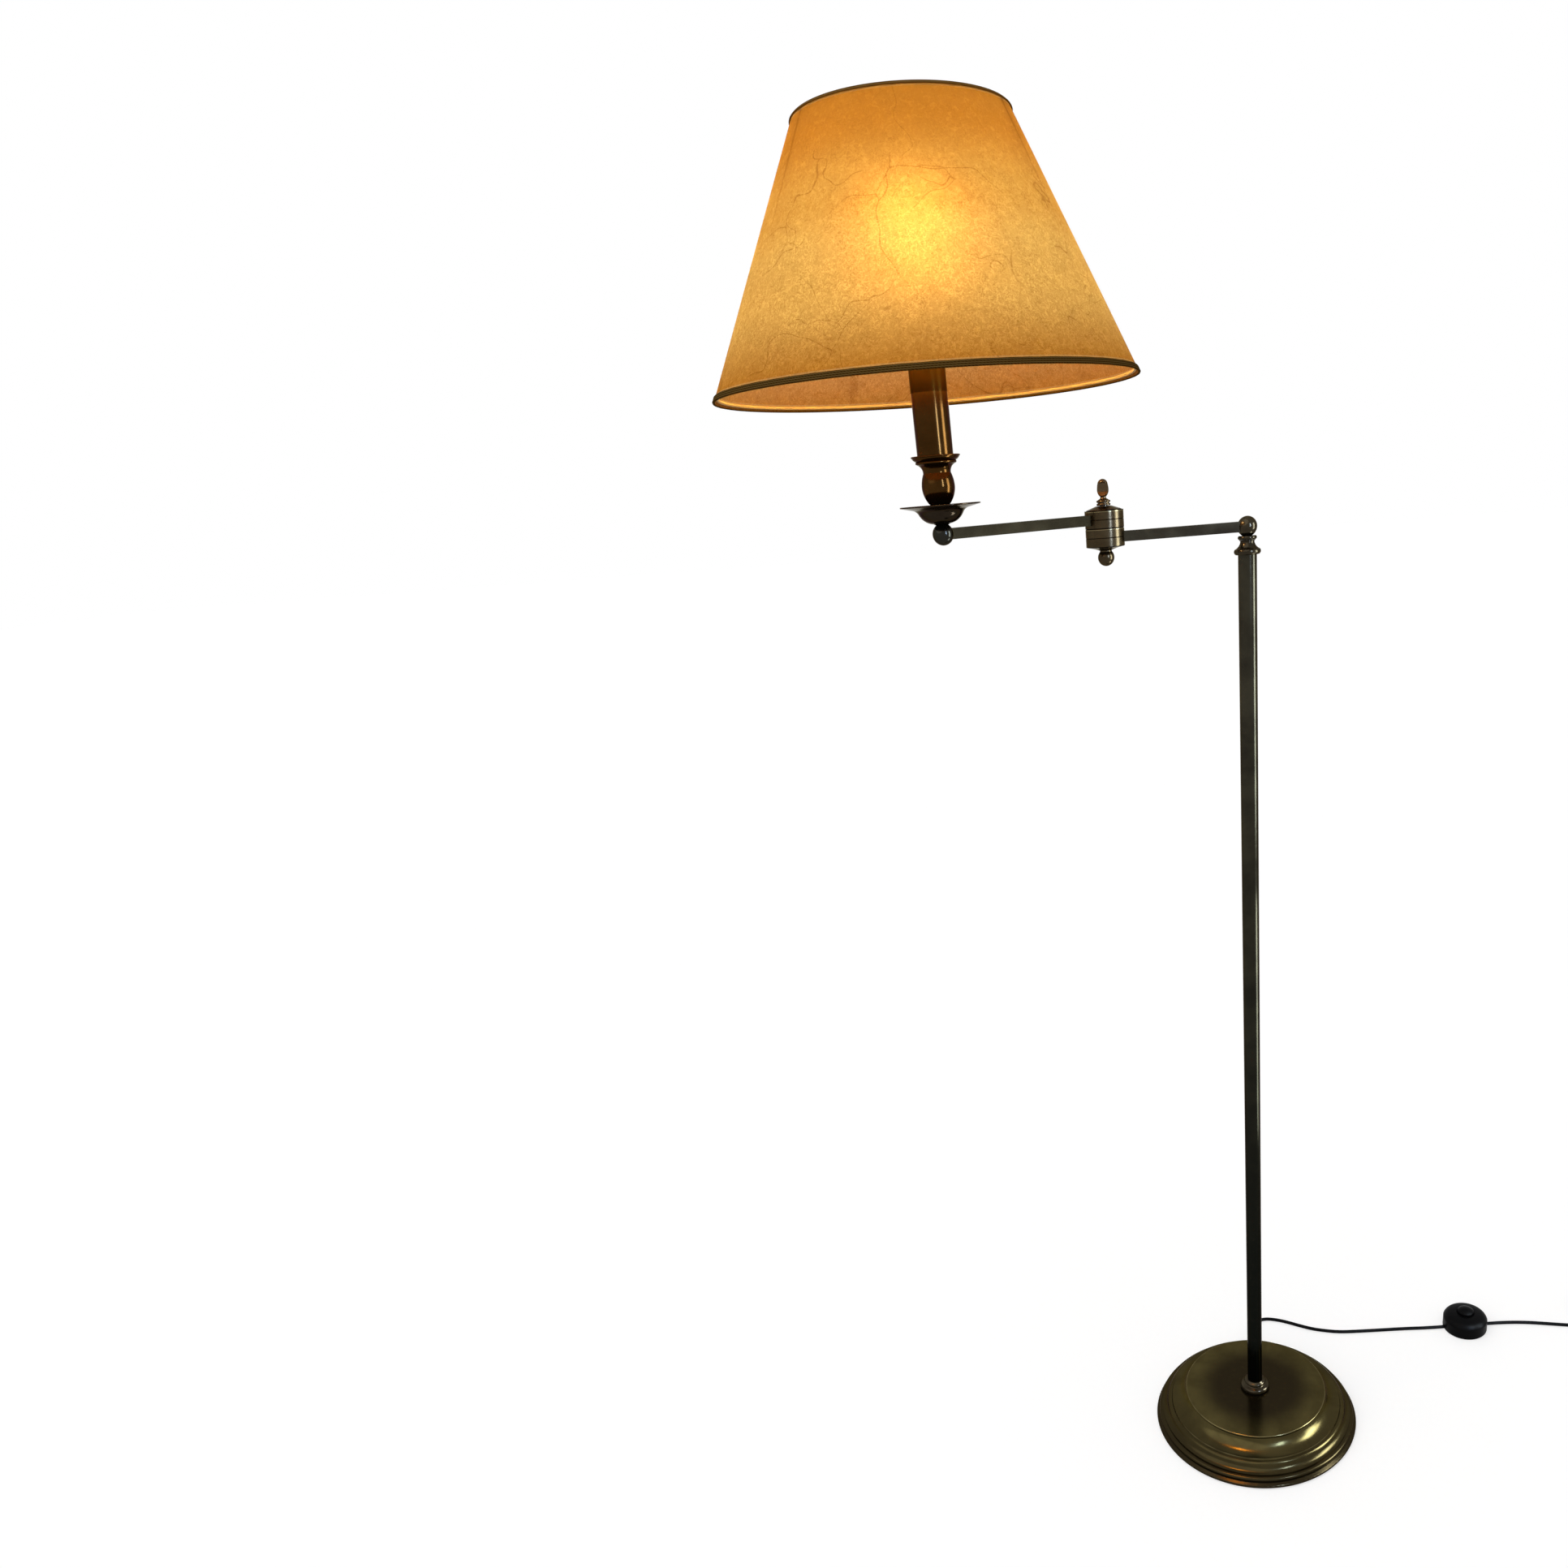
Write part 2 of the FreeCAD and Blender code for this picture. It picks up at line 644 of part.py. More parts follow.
def lower_lid():
    """Cone that closes the lower cup and runs down to the ball nut."""
    neck_level = f"{BALL_FLAT} - ball_drop"
    node(turned("lower_lid", DRUM_BOTTOM, [
        corner("bore_top", "bolt_radius + seat_gap", 1.5),
        corner("spigot_top", "drum_radius - drum_wall - seat_gap", 1.5),
        corner("spigot_low", "drum_radius - drum_wall - seat_gap", "0"),
        corner("edge_top", ("drum_radius", -0.8), "0"),
        corner("edge_low", ("drum_radius", -0.9), -0.3),
        through("slope", ("drum_radius", -9.2), -2.2),
        corner("neck_top", 6.4, -3.9),
        corner("neck_low", "lower_lid_neck_top_across", neck_level),
        corner("bore_low", "bolt_radius + seat_gap", neck_level),
    ]), "lower_lid")


def ball_nut():
    """Ball under the elbow that holds the bolt's foot in a blind bore."""
    node(turned("ball_nut", moved(DRUM_BOTTOM, "0", "0", "0", "-ball_drop"), [
        corner("bore_low", "bolt_radius + seat_gap", -5.0),
        corner("bore_top", "bolt_radius + seat_gap", BALL_FLAT),
        corner("flat_edge", "lower_lid_neck_top_across", BALL_FLAT),
        domed("waist"),
        corner("pole", "0", "-ball_nut_radius"),
        corner("bore_axis", "0", "ball_nut_bore_low_up"),
    ]), "ball_nut")


def elbow_bolt():
    """Bolt from the ball nut up through both cups into the thumb screw."""
    start = "ball_nut_bore_low_up - ball_drop"
    end = "2 * drum_half + thumb_bore_level - seat_gap"
    node(turned("elbow_bolt", DRUM_BOTTOM, [
        corner("foot_axis", "0", start),
        corner("foot", "bolt_radius", start),
        corner("chamfer", "bolt_radius", f"{end} - bolt_chamfer"),
        corner("tip", "bolt_radius - bolt_chamfer", end),
        corner("tip_axis", "0", end),
    ]), "elbow_bolt")


def friction_washer():
    """Thin washer that lies on the lower cup's closed face."""
    node(turned("friction_washer", moved(ELBOW, "0", "0", "0", f"-({DRUM_FACE})"),
                ring_section("bolt_radius + turning_gap", ("drum_radius", -0.6), "0", "friction_thickness")),
         "friction_washer")


# Thumb screw

def thumb_screw():
    """Double bead with a flattened acorn key, turned and then pinched on two sides."""
    acorn = turned("thumb_screw", DRUM_TOP, [
        corner("foot_in", "bolt_radius + running_gap", 4.5),
        corner("foot_out", 6.3, "thumb_screw_foot_in_up"),
        through("low_bead", 7.4, 5.6),
        corner("waist_low", 6.1, 6.7),
        corner("waist_top", 6.1, 7.6),
        through("high_bead", 7.4, 8.7),
        corner("bead_top", 6.2, 9.8),
        corner("shoulder", 4.4, 11.0),
        through("neck", 3.1, 12.2),
        corner("key_foot", 3.9, 14.0),
        through("key_low", 5.5, 16.6),
        corner("key_belly", 6.1, 19.5),
        through("key_high", 5.85, 23.2),
        corner("key_shoulder", 5.3, 26.0),
        domed("key_crown"),
        corner("key_top", "0", 30.5),
        corner("bore_axis", "0", "thumb_bore_level"),
        corner("bore_top", "bolt_radius + running_gap", "thumb_bore_level"),
    ])
    pinched = acorn
    for name, side in (("front_pinch", "-"), ("back_pinch", "")):
        offset = f"{side}(pinch_radius + pinch_half_web)"
        hollow = lying_rod(name, moved(DRUM_TOP, "0", "-pinch_radius", offset, "pinch_level"), "0",
                           "pinch_radius", "2 * pinch_radius")
        pinched = cut("thumb_screw_" + name, pinched, hollow)
    node(pinched, "thumb_screw")


# Upper half of the elbow and arm two

def upper_drum():
    drum_half("upper_drum", "bolt_radius + running_gap", ARM_TWO_LEVEL, "arm_two_heading", "0")


def upper_lid():
    """Dome that closes the upper cup under the thumb screw."""
    node(turned("upper_lid", DRUM_TOP, [
        corner("spigot_in", ("drum_radius", -4.0), -1.5),
        corner("spigot_low", "drum_radius - drum_wall - seat_gap", -1.5),
        corner("spigot_top", "drum_radius - drum_wall - seat_gap", "0"),
        corner("edge_low", ("drum_radius", -1.6), "0"),
        corner("edge_top", ("drum_radius", -2.2), 0.7),
        through("dome", ("drum_radius", -7.1), 2.4),
        corner("seat_out", 8.2, "upper_lid_seat_in_up"),
        corner("seat_in", "bolt_radius + turning_gap", 4.2),
        corner("hole_low", "bolt_radius + turning_gap", 2.8),
        through("dome_in", ("drum_radius", -8.5), 1.1),
    ]), "upper_lid")


def arm_two_bar():
    start = "hub_radius + turning_gap"
    at = moved((ELBOW_X, ELBOW_Y, ARM_TWO_LEVEL), "arm_two_heading", start)
    length = "arm_two_reach - socket_floor - hub_radius - turning_gap"
    arm_bar("arm_two_bar", at, "arm_two_heading", length)


# Holder

def holder_ball():
    """Ball at the outer end of arm two, flat on top under the drip pan."""
    flat = "sqrt(ball_radius ^ 2 - drip_pan_neck_across ^ 2)"
    ball = turned("holder_ball", HOLDER, [
        corner("pole", "0", "-ball_radius"),
        domed("waist"),
        corner("flat_edge", "drip_pan_neck_across", flat),
        corner("bore_top", "nipple_radius + seat_gap", flat),
        corner("bore_low", "nipple_radius + seat_gap", -2.0),
        corner("bore_axis", "0", "holder_ball_bore_low_up"),
    ])
    socket = block("holder_ball_socket", ("ball_radius", "bar_side", "bar_side"),
                   moved(HOLDER, "arm_two_heading + 180", "socket_floor"), "arm_two_heading + 180")
    node(cut("holder_ball", ball, socket), "holder_ball")


def holder_nipple():
    """Hollow threaded rod from the ball up to the lampholder."""
    node(turned("holder_nipple", HOLDER,
                ring_section("nipple_bore", "nipple_radius", "holder_ball_bore_low_up",
                             f"{TUBE_FOOT} + tube_length + lampholder_cap_nipple_stop_up")),
         "holder_nipple")


def drip_pan():
    """Spun pan: a round bowl that turns out into a wide thin brim."""
    seat = "sqrt(ball_radius ^ 2 - drip_pan_neck_across ^ 2)"
    node(turned("drip_pan", HOLDER, [
        corner("neck", 6.2, seat),
        corner("bowl_foot", 8.6, ("ball_radius", -0.7)),
        through("bowl", 18.7, ("ball_radius", 4.1)),
        corner("bowl_top", 21.9, ("ball_radius", 8.5)),
        through("turn_out", 24.4, ("ball_radius", 11.4)),
        corner("brim_root", 28.0, ("ball_radius", 13.0)),
        corner("brim_tip", 39.0, ("ball_radius", 15.4)),
        through("brim_roll", 39.7, ("ball_radius", 16.2)),
        corner("brim_tip_top", 38.9, ("ball_radius", 16.8)),
        corner("brim_root_top", 27.8, ("ball_radius", 14.3)),
        through("turn_out_top", 23.6, ("ball_radius", 12.4)),
        corner("bowl_top_in", 20.7, ("ball_radius", 8.9)),
        through("bowl_in", 17.8, ("ball_radius", 5.1)),
        corner("floor_out", 8.6, PAN_FLOOR),
        corner("floor_in", "nipple_radius + seat_gap", PAN_FLOOR),
        corner("bore_low", "nipple_radius + seat_gap", seat),
    ]), "drip_pan")


PAN_FLOOR = "ball_radius + drip_pan_bowl_foot_up + pan_wall"


def candle_cup():
    """Vase-like cup that stands in the pan and holds the candle tube in its mouth."""
    node(turned("candle_cup", HOLDER, [
        corner("foot_in", "nipple_radius + seat_gap", PAN_FLOOR),
        corner("foot_out", 8.2, PAN_FLOOR),
        corner("foot_top", 8.2, ("ball_radius", 2.3)),
        through("stalk", 6.9, ("ball_radius", 9.0)),
        corner("flare", 9.6, ("ball_radius", 16.7)),
        through("belly_low", ("tube_radius", -3.3), ("ball_radius", 23.7)),
        corner("belly", ("tube_radius", -1.3), ("ball_radius", 32.9)),
        through("belly_high", ("tube_radius", -2.0), ("ball_radius", 39.1)),
        corner("neck_low", ("tube_radius", -4.0), ("ball_radius", 45.3)),
        corner("neck_top", ("tube_radius", -4.0), ("ball_radius", 46.5)),
        through("cove", ("tube_radius", -2.9), ("ball_radius", 49.9)),
        corner("step_low", ("tube_radius", -0.3), ("ball_radius", 52.6)),
        corner("ring_low", ("tube_radius", 1.4), ("ball_radius", 53.4)),
        through("ring_round", ("tube_radius", 2.5), ("ball_radius", 54.7)),
        corner("ring_top", ("tube_radius", 1.9), ("ball_radius", 55.9)),
        through("lip_cove", ("tube_radius", 3.5), ("ball_radius", 56.8)),
        corner("lip_low", ("tube_radius", 5.7), ("ball_radius", 59.4)),
        through("lip_round", ("tube_radius", 6.4), ("ball_radius", 60.3)),
        corner("lip_top", ("tube_radius", 5.5), ("ball_radius", 60.9)),
        corner("mouth", "tube_radius + tube_clearance", ("ball_radius", 56.4)),
        corner("mouth_low", "tube_radius + tube_clearance", TUBE_FOOT),
        corner("ledge", ("tube_radius", -5.5), TUBE_FOOT),
        corner("throat_top", "tube_radius + candle_cup_ledge_across", ("ball_radius", 49.5)),
        corner("throat_low", ("tube_radius", -6.5), ("ball_radius", 44.5)),
        through("hollow", ("tube_radius", -4.1), ("ball_radius", 32.5)),
        corner("hollow_low", 8.6, ("ball_radius", 19.5)),
        corner("stalk_in", "nipple_radius + seat_gap", ("ball_radius", 14.5)),
    ]), "candle_cup")


def candle_tube():
    inner = "tube_radius - tube_wall"
    node(turned("candle_tube", HOLDER,
                ring_section(inner, "tube_radius", TUBE_FOOT, f"{TUBE_FOOT} + tube_length")), "candle_tube")


def lampholder():
    """Cap on the tube, skirt with a shade shoulder, and the contact insert."""
    bore = "skirt_bore - cap_ledge"
    node(turned("lampholder_cap", TUBE_TOP, [
        corner("nipple_seat_low", "nipple_radius + seat_gap", -17.0),
        corner("floor_out", "tube_radius - tube_wall - seat_gap", "lampholder_cap_nipple_seat_low_up"),
        corner("flange_low", "tube_radius - tube_wall - seat_gap", "0"),
        corner("flange_out", "tube_radius + flange_reach", "0"),
        corner("flange_top", "tube_radius + flange_reach", 2.0),
        corner("top_in", bore, "lampholder_cap_flange_top_up"),
        corner("floor_top", bore, -13.0),
        corner("bore_top", "nipple_bore", "lampholder_cap_floor_top_up"),
        corner("nipple_stop", "nipple_bore", -15.0),
        corner("nipple_seat_top", "nipple_radius + seat_gap", "lampholder_cap_nipple_stop_up"),
    ]), "lampholder_cap")
    foot = "lampholder_cap_flange_top_up"
    node(turned("lampholder_skirt", TUBE_TOP, [
        corner("bore_low", "skirt_bore", foot),
        corner("foot", "skirt_radius", foot),
        corner("shoulder_low", "skirt_radius", ("carrier_level", -1.7)),
        corner("shoulder_out_low", ("skirt_radius", 3.5), "carrier_level + lampholder_skirt_shoulder_low_up"),
        corner("shoulder_out_top", ("skirt_radius", 3.5), "carrier_level"),
        corner("shoulder_top", "skirt_radius", "carrier_level"),
        corner("mouth_out", "skirt_radius", 35.5),
        through("mouth_round", ("skirt_radius", -0.6), 36.6),
        corner("mouth_top", ("skirt_radius", -2.0), 37.0),
        corner("mouth_in", "skirt_bore", "lampholder_skirt_mouth_top_up"),
    ]), "lampholder_skirt")
    node(turned("lampholder_contact", TUBE_TOP,
                ring_section("0", "skirt_bore - seat_gap", foot, f"{foot} + contact_height")),
         "lampholder_contact")


def shade_clamp_ring():
    """Ring screwed down on the shade's carrier, with grip hollows round its rim."""
    low = "carrier_level + carrier_thickness"
    rim = "skirt_radius + clamp_ring_reach"
    ring = turned("shade_clamp_ring", TUBE_TOP,
                  ring_section("skirt_radius + seat_gap", rim, low, f"{low} + clamp_ring_height"))
    grip = sketch_on(ring, "clamp_grip", "XY_Plane")
    hollow = grip.addGeometry(Part.Circle(Vector(1, 0, 0), Vector(0, 0, 1), 1), False)
    grip.addConstraint(Sketcher.Constraint("PointOnObject", hollow, 3, -1))
    hold(grip, "DistanceX", hollow, 3, "rim", rim, 1, -2)
    index = grip.addConstraint(Sketcher.Constraint("Radius", hollow, 1))
    grip.setExpression(f"Constraints[{index}]", "Sizes.clamp_grip_radius")
    pocket = ring.newObject("PartDesign::Pocket", "clamp_grip_hollow")
    pocket.Profile = grip
    pocket.Reversed = True
    pocket.setExpression("Length", bound(f"{low} + clamp_ring_height"))
    pattern = ring.newObject("PartDesign::PolarPattern", "clamp_grip_pattern")
    pattern.Originals = [pocket]
    pattern.Axis = (grip, ["N_Axis"])
    pattern.Angle = 360
    pattern.setExpression("Occurrences", "Sizes.clamp_grip_count")
    grip.Visibility = False
    ring.Tip = pattern
    node(ring, "shade_clamp_ring")


def bulb():
    """Screw cap and pear-shaped envelope."""
    node(turned("bulb_cap", TUBE_TOP, [
        corner("contact_axis", "0", "lampholder_cap_flange_top_up + contact_height"),
        corner("contact", 4.8, "lampholder_cap_flange_top_up + contact_height"),
        corner("contact_top", 4.8, 10.2),
        corner("shell_foot", 10.5, 13.0),
        corner("shell_low", "skirt_bore - bulb_cap_clearance", 15.5),
        corner("shell_top", "skirt_bore - bulb_cap_clearance", 35.0),
        corner("top_axis", "0", "bulb_cap_shell_top_up"),
    ]), "bulb_cap")
    neck = "skirt_bore - bulb_neck_clearance"
    shoulder = "sqrt(bulb_radius ^ 2 - bulb_shoulder_drop ^ 2)"
    inner = "bulb_radius - bulb_wall"
    shoulder_in = f"sqrt(({inner}) ^ 2 - bulb_shoulder_drop ^ 2)"
    node(turned("bulb_glass", TUBE_TOP, [
        corner("neck", neck, "bulb_cap_shell_top_up"),
        through("waist", 15.6, 50.5),
        corner("shoulder", shoulder, "bulb_centre - bulb_shoulder_drop"),
        domed("globe"),
        corner("crown", "0", "bulb_centre + bulb_radius"),
        corner("crown_in", "0", f"bulb_centre + {inner}"),
        domed("globe_in"),
        corner("shoulder_in", shoulder_in, "bulb_centre - bulb_shoulder_drop"),
        through("waist_in", 14.5, 50.9),
        corner("neck_in", f"{neck} - bulb_wall", "bulb_cap_shell_top_up"),
    ]), "bulb_glass")


# Shade

LEAN = "atan((shade_bottom_radius - shade_top_radius) / shade_height)"


def paper_at(height):
    """Outer radius of the paper cone at a height above its lower edge."""
    return f"(shade_bottom_radius - (shade_bottom_radius - shade_top_radius) * ({height}) / shade_height)"


def inside_paper(height, clear):
    """Radius of something that lies inside the paper, a clear distance from its inner face."""
    return f"({paper_at(height)} - (paper_thickness + {clear}) / cos({LEAN}))"


def shade_paper():
    node(turned("shade_paper", SHADE, [
        corner("low_in", inside_paper("0", "0"), "0"),
        corner("low_out", "shade_bottom_radius", "0"),
        corner("high_out", "shade_top_radius", "shade_height"),
        corner("high_in", inside_paper("shade_height", "0"), "shade_height"),
    ]), "shade_paper")


def shade_ring(label, height):
    """Wire hoop inside the paper."""
    hoop = doc.addObject("Part::Torus", label)
    hoop.setExpression("Radius1", bound(inside_paper(height, "wire_radius + seat_gap")))
    hoop.setExpression("Radius2", "Sizes.wire_radius")
    place(hoop, moved(SHADE, "0", "0", "0", height))
    node(hoop, label)


def shade_trim(label, edge, far, fold, ribs):
    """Ribbed tape folded round an edge of the paper; fold is how far it stands past the edge."""
    outline = [corner("fold_in", inside_paper(edge, "trim_fold"), fold),
               corner("fold_out", f"{paper_at(edge)} + trim_thickness", fold)]
    for i in range(ribs):
        for name, share, rise in ((f"rib_{i + 1}_near", f"({i} + rib_flank)", " + rib_height"),
                                  (f"rib_{i + 1}_far", f"({i + 1} - rib_flank)", " + rib_height"),
                                  (f"valley_{i + 1}", str(i + 1), "")):
            level = f"({edge} + ({far} - ({edge})) * {share} / {ribs})"
            outline.append(corner(name, f"{paper_at(level)} + trim_thickness{rise}", level))
    outline += [corner("hem", f"{paper_at(far)} + seat_gap / cos({LEAN})", far),
                corner("paper_edge", f"{paper_at(edge)} + seat_gap / cos({LEAN})", edge),
                corner("fold_paper", inside_paper(edge, "trim_fold"), edge)]
    node(turned(label, SHADE, outline), label)


def shade_carrier():
    """Flat ring on the lampholder's shoulder and three bent wires up to the top hoop."""
    node(turned("carrier_ring", TUBE_TOP,
                ring_section("skirt_radius + turning_gap", "skirt_radius + carrier_ring_reach",
                             "carrier_level", "carrier_level + carrier_thickness")), "carrier_ring")
    hoop_level = "(shade_height - shade_drop - hoop_inset)"
    hoop_radius = inside_paper("shade_height - hoop_inset", "wire_radius + seat_gap")
    reach = f"({hoop_radius} - 2 * wire_radius - seat_gap)"
    for i in range(3):
        carrier_arm(f"carrier_arm_{i + 1}", f"carrier_first_heading + {i} * carrier_arm_spread",
                    reach, hoop_level)


def carrier_arm(label, heading, reach, top):
    """Bent wire that starts at the carrier ring's rim and ends beside the top hoop."""
    body = doc.addObject("PartDesign::Body", label + "_body")
    path = sketch_on(body, label + "_path", "XZ_Plane")
    rim = "skirt_radius + carrier_ring_reach + seat_gap"
    start = Vector(amount(rim), amount(CARRIER_MIDDLE), 0)
    bend = Vector(start.x + amount("carrier_arm_foot"), start.y, 0)
    end = Vector(amount(reach), amount(top), 0)
    foot = path.addGeometry(Part.LineSegment(start, bend), False)
    rise = path.addGeometry(Part.LineSegment(bend, end), False)
    path.addConstraint(Sketcher.Constraint("Coincident", foot, 2, rise, 1))
    path.addConstraint(Sketcher.Constraint("Horizontal", foot))
    hold(path, "DistanceX", foot, 1, "start_across", rim, start.x, -2)
    hold(path, "DistanceY", foot, 1, "start_up", CARRIER_MIDDLE, start.y, -1)
    hold(path, "DistanceX", rise, 1, "bend_across", f"{rim} + carrier_arm_foot", bend.x, -2)
    hold(path, "DistanceX", rise, 2, "end_across", reach, end.x, -2)
    hold(path, "DistanceY", rise, 2, "end_up", top, end.y, -1)
    section = sketch_on(body, label + "_section", "YZ_Plane")
    section.setExpression("AttachmentOffset.Base.z", bound(rim))
    radius = amount("wire_radius")
    wire = section.addGeometry(Part.Circle(Vector(0, start.y, 0), Vector(0, 0, 1), radius), False)
    section.addConstraint(Sketcher.Constraint("PointOnObject", wire, 3, -2))
    hold(section, "DistanceY", wire, 3, "centre_up", CARRIER_MIDDLE, start.y, -1)
    index = section.addConstraint(Sketcher.Constraint("Radius", wire, radius))
    section.setExpression(f"Constraints[{index}]", "Sizes.wire_radius")
    pipe = body.newObject("PartDesign::AdditivePipe", label + "_pipe")
    pipe.Profile = section
    pipe.Spine = path
    pipe.Transition = "Round corner"
    body.Tip = pipe
    place(body, TUBE_TOP, heading)
    node(body, label)


CARRIER_MIDDLE = "carrier_level + carrier_thickness / 2"


# Foot switch

def foot_switch():
    """Round floor switch: base plate, domed cover, mechanism and a push button."""
    node(turned("switch_base", SWITCH, [
        corner("low_axis", "0", "0"),
        corner("low_out", ("switch_radius", -3.0), "0"),
        corner("plate_out", ("switch_radius", -2.2), 0.8),
        corner("plate_top", ("switch_radius", -2.2), 3.0),
        corner("top_axis", "0", 3.0),
    ]), "switch_base")
    plate_top = "switch_base_plate_top_up"
    cover = turned("switch_cover", SWITCH, [
        corner("wall_in_low", ("switch_radius", -1.8), 1.0),
        corner("wall_low", ("switch_radius", -0.5), 1.0),
        corner("foot", "switch_radius", 2.0),
        corner("wall_top", ("switch_radius", -0.2), 17.5),
        through("shoulder", ("switch_radius", -3.6), 22.4),
        corner("shoulder_top", ("switch_radius", -9.6), 25.4),
        through("crown", ("switch_radius", -15.0), 26.6),
        corner("hole_out", ("button_radius", 1.2), "switch_level"),
        corner("hole_top", "button_radius + turning_gap", ("switch_level", -0.6)),
        corner("hole_low", "button_radius + turning_gap", ("switch_level", -2.4)),
        through("crown_in", ("switch_radius", -12.5), 23.4),
        corner("wall_in_top", ("switch_radius", -2.6), 16.5),
    ])
    level = ("switch_x", "switch_y", "gland_level")
    hole = lying_rod("switch_cord_holes", moved(level, "switch_heading", "-switch_radius - gland_reach"),
                     "switch_heading", "gland_radius + seat_gap", "2 * (switch_radius + gland_reach)")
    node(cut("switch_cover", cover, hole), "switch_cover")
    for label, heading in (("switch_gland_in", "switch_heading + 180"),
                           ("switch_gland_out", "switch_heading")):
        gland = lying_rod(label, moved(level, heading, "switch_radius - gland_depth"), heading,
                          "gland_radius", "gland_depth + gland_reach")
        node(gland, label)
    node(turned("switch_block", SWITCH, [
        corner("low_axis", "0", plate_top),
        corner("low_out", 10.0, plate_top),
        corner("top_out", 10.0, 18.5),
        corner("bore_top", 3.8, "switch_block_top_out_up"),
        corner("bore_low", 3.8, 6.0),
        corner("bore_axis", "0", "switch_block_bore_low_up"),
    ]), "switch_block")
    stem_foot = "switch_block_bore_low_up + button_travel + button_overtravel"
    rim_low = "switch_level - button_rim_drop - button_rim"
    node(turned("switch_button", SWITCH, [
        corner("stem_axis", "0", stem_foot),
        corner("stem_low", "switch_block_bore_top_across - turning_gap", stem_foot),
        corner("stem_top", "switch_block_bore_top_across - turning_gap", rim_low),
        corner("rim_low", ("button_radius", 1.6), rim_low),
        corner("rim_top", "button_radius + switch_button_rim_low_across", "switch_level - button_rim_drop"),
        corner("wall_low", "button_radius", "switch_level - button_rim_drop"),
        corner("wall_top", "button_radius", ("switch_level", 3.6)),
        domed("dome"),
        corner("crown", "0", ("switch_level", 8.0)),
    ]), "switch_button")


# Cord

def corner_arc(start, bend, end):
    """Arc that leaves start towards bend and arrives at end from bend, both equally far from it."""
    chord = end - start
    middle = (start + end) * 0.5
    half_turn = (bend - start).getAngle(chord)
    rise = bend - middle
    crown = middle + rise.normalize() * (chord.Length / 2 * math.tan(half_turn / 2))
    return Part.Arc(start, crown, end).toShape()


def rounded_path(label, route):
    """Straight runs joined by arcs as large as 0.45 of the shorter run beside each point allows."""
    points = [Vector(*point) for point in route]
    edges = []
    radii = []
    start = points[0]
    for before, bend, after in zip(points, points[1:], points[2:]):
        trim = 0.45 * min((bend - before).Length, (after - bend).Length)
        turn = (bend - before).getAngle(after - bend)
        radii.append(trim / math.tan(turn / 2))
        near = bend + (before - bend).normalize() * trim
        far = bend + (after - bend).normalize() * trim
        edges.append(Part.LineSegment(start, near).toShape())
        edges.append(corner_arc(near, bend, far))
        start = far
    edges.append(Part.LineSegment(start, points[-1]).toShape())
    print(label, "radii", [round(radius, 1) for radius in radii])
    return Part.Wire(edges)


def tube(label, path, at=Vector()):
    """Round cord along a path, checked against its section times its length."""
    radius = amount("cord_radius")
    first = path.Edges[0]
    start = first.valueAt(first.FirstParameter)
    section = Part.Wire(Part.Circle(start, first.tangentAt(first.FirstParameter), radius).toShape())
    shell = Part.BRepOffsetAPI.MakePipeShell(path)
    shell.add(section)
    shell.build()
    shell.makeSolid()
    cord = doc.addObject("Part::Feature", label)
    cord.Shape = shell.shape()
    cord.Placement = FreeCAD.Placement(at, FreeCAD.Rotation())
    expected = math.pi * radius ** 2 * path.Length
    print(label, "length", round(path.Length, 1), "volume ratio", round(cord.Shape.Volume / expected, 4))
    node(cord, label)


def coil_path():
    """Half turns that spiral in on the floor, climb a layer at the inside and spiral out on top."""
    radius = COIL_OUTER_RADIUS
    level = COIL_LOW_LEVEL
    side = -1
    spot = Vector(0, side * radius, level)
    lead_in = spot - Vector(COIL_STRAIGHT_END, 0, 0)
    edges = [Part.LineSegment(lead_in, spot).toShape()]
    steps = [(-COIL_PITCH / 2, 0)] * COIL_HALF_TURNS_IN
    steps += [(0, COIL_LAYER_RISE)]
    steps += [(COIL_PITCH / 2, 0)] * COIL_HALF_TURNS_OUT
    for grow, climb in steps:
        radius += grow
        level += climb
        side = -side
        goal = Vector(0, side * radius, level)
        ahead = Vector(side * (goal - spot).Length / 2, 0, 0)
        near = spot + ahead
        far = goal + ahead
        middle = (near + far) * 0.5
        edges.append(corner_arc(spot, near, middle))
        edges.append(corner_arc(middle, far, goal))
        spot = goal
    edges.append(Part.LineSegment(spot, spot + Vector(COIL_STRAIGHT_END, 0, 0)).toShape())
    return Part.Wire(edges)


def least_self_gap(path):
    """Least gap between stretches of the coil that lie more than half a turn apart."""
    step = 2.0
    points = path.discretize(Distance=step)
    skip = int(math.pi * COIL_OUTER_RADIUS / 2 / step)
    least = min((points[j] - points[i]).Length for i in range(len(points))
                for j in range(i + skip, len(points)))
    return least - 2 * amount("cord_radius")


def cord():
    tube("cord_lamp_side", rounded_path("cord_lamp_side", CORD_LAMP_SIDE))
    tube("cord_plug_side", rounded_path("cord_plug_side", CORD_PLUG_SIDE))
    tube("cord_plug_lead", rounded_path("cord_plug_lead", CORD_PLUG_LEAD))
    path = coil_path()
    print("cord_coil least self gap", round(least_self_gap(path), 2))
    tube("cord_coil", path, Vector(COIL_CENTRE[0], COIL_CENTRE[1], 0))


# Plug

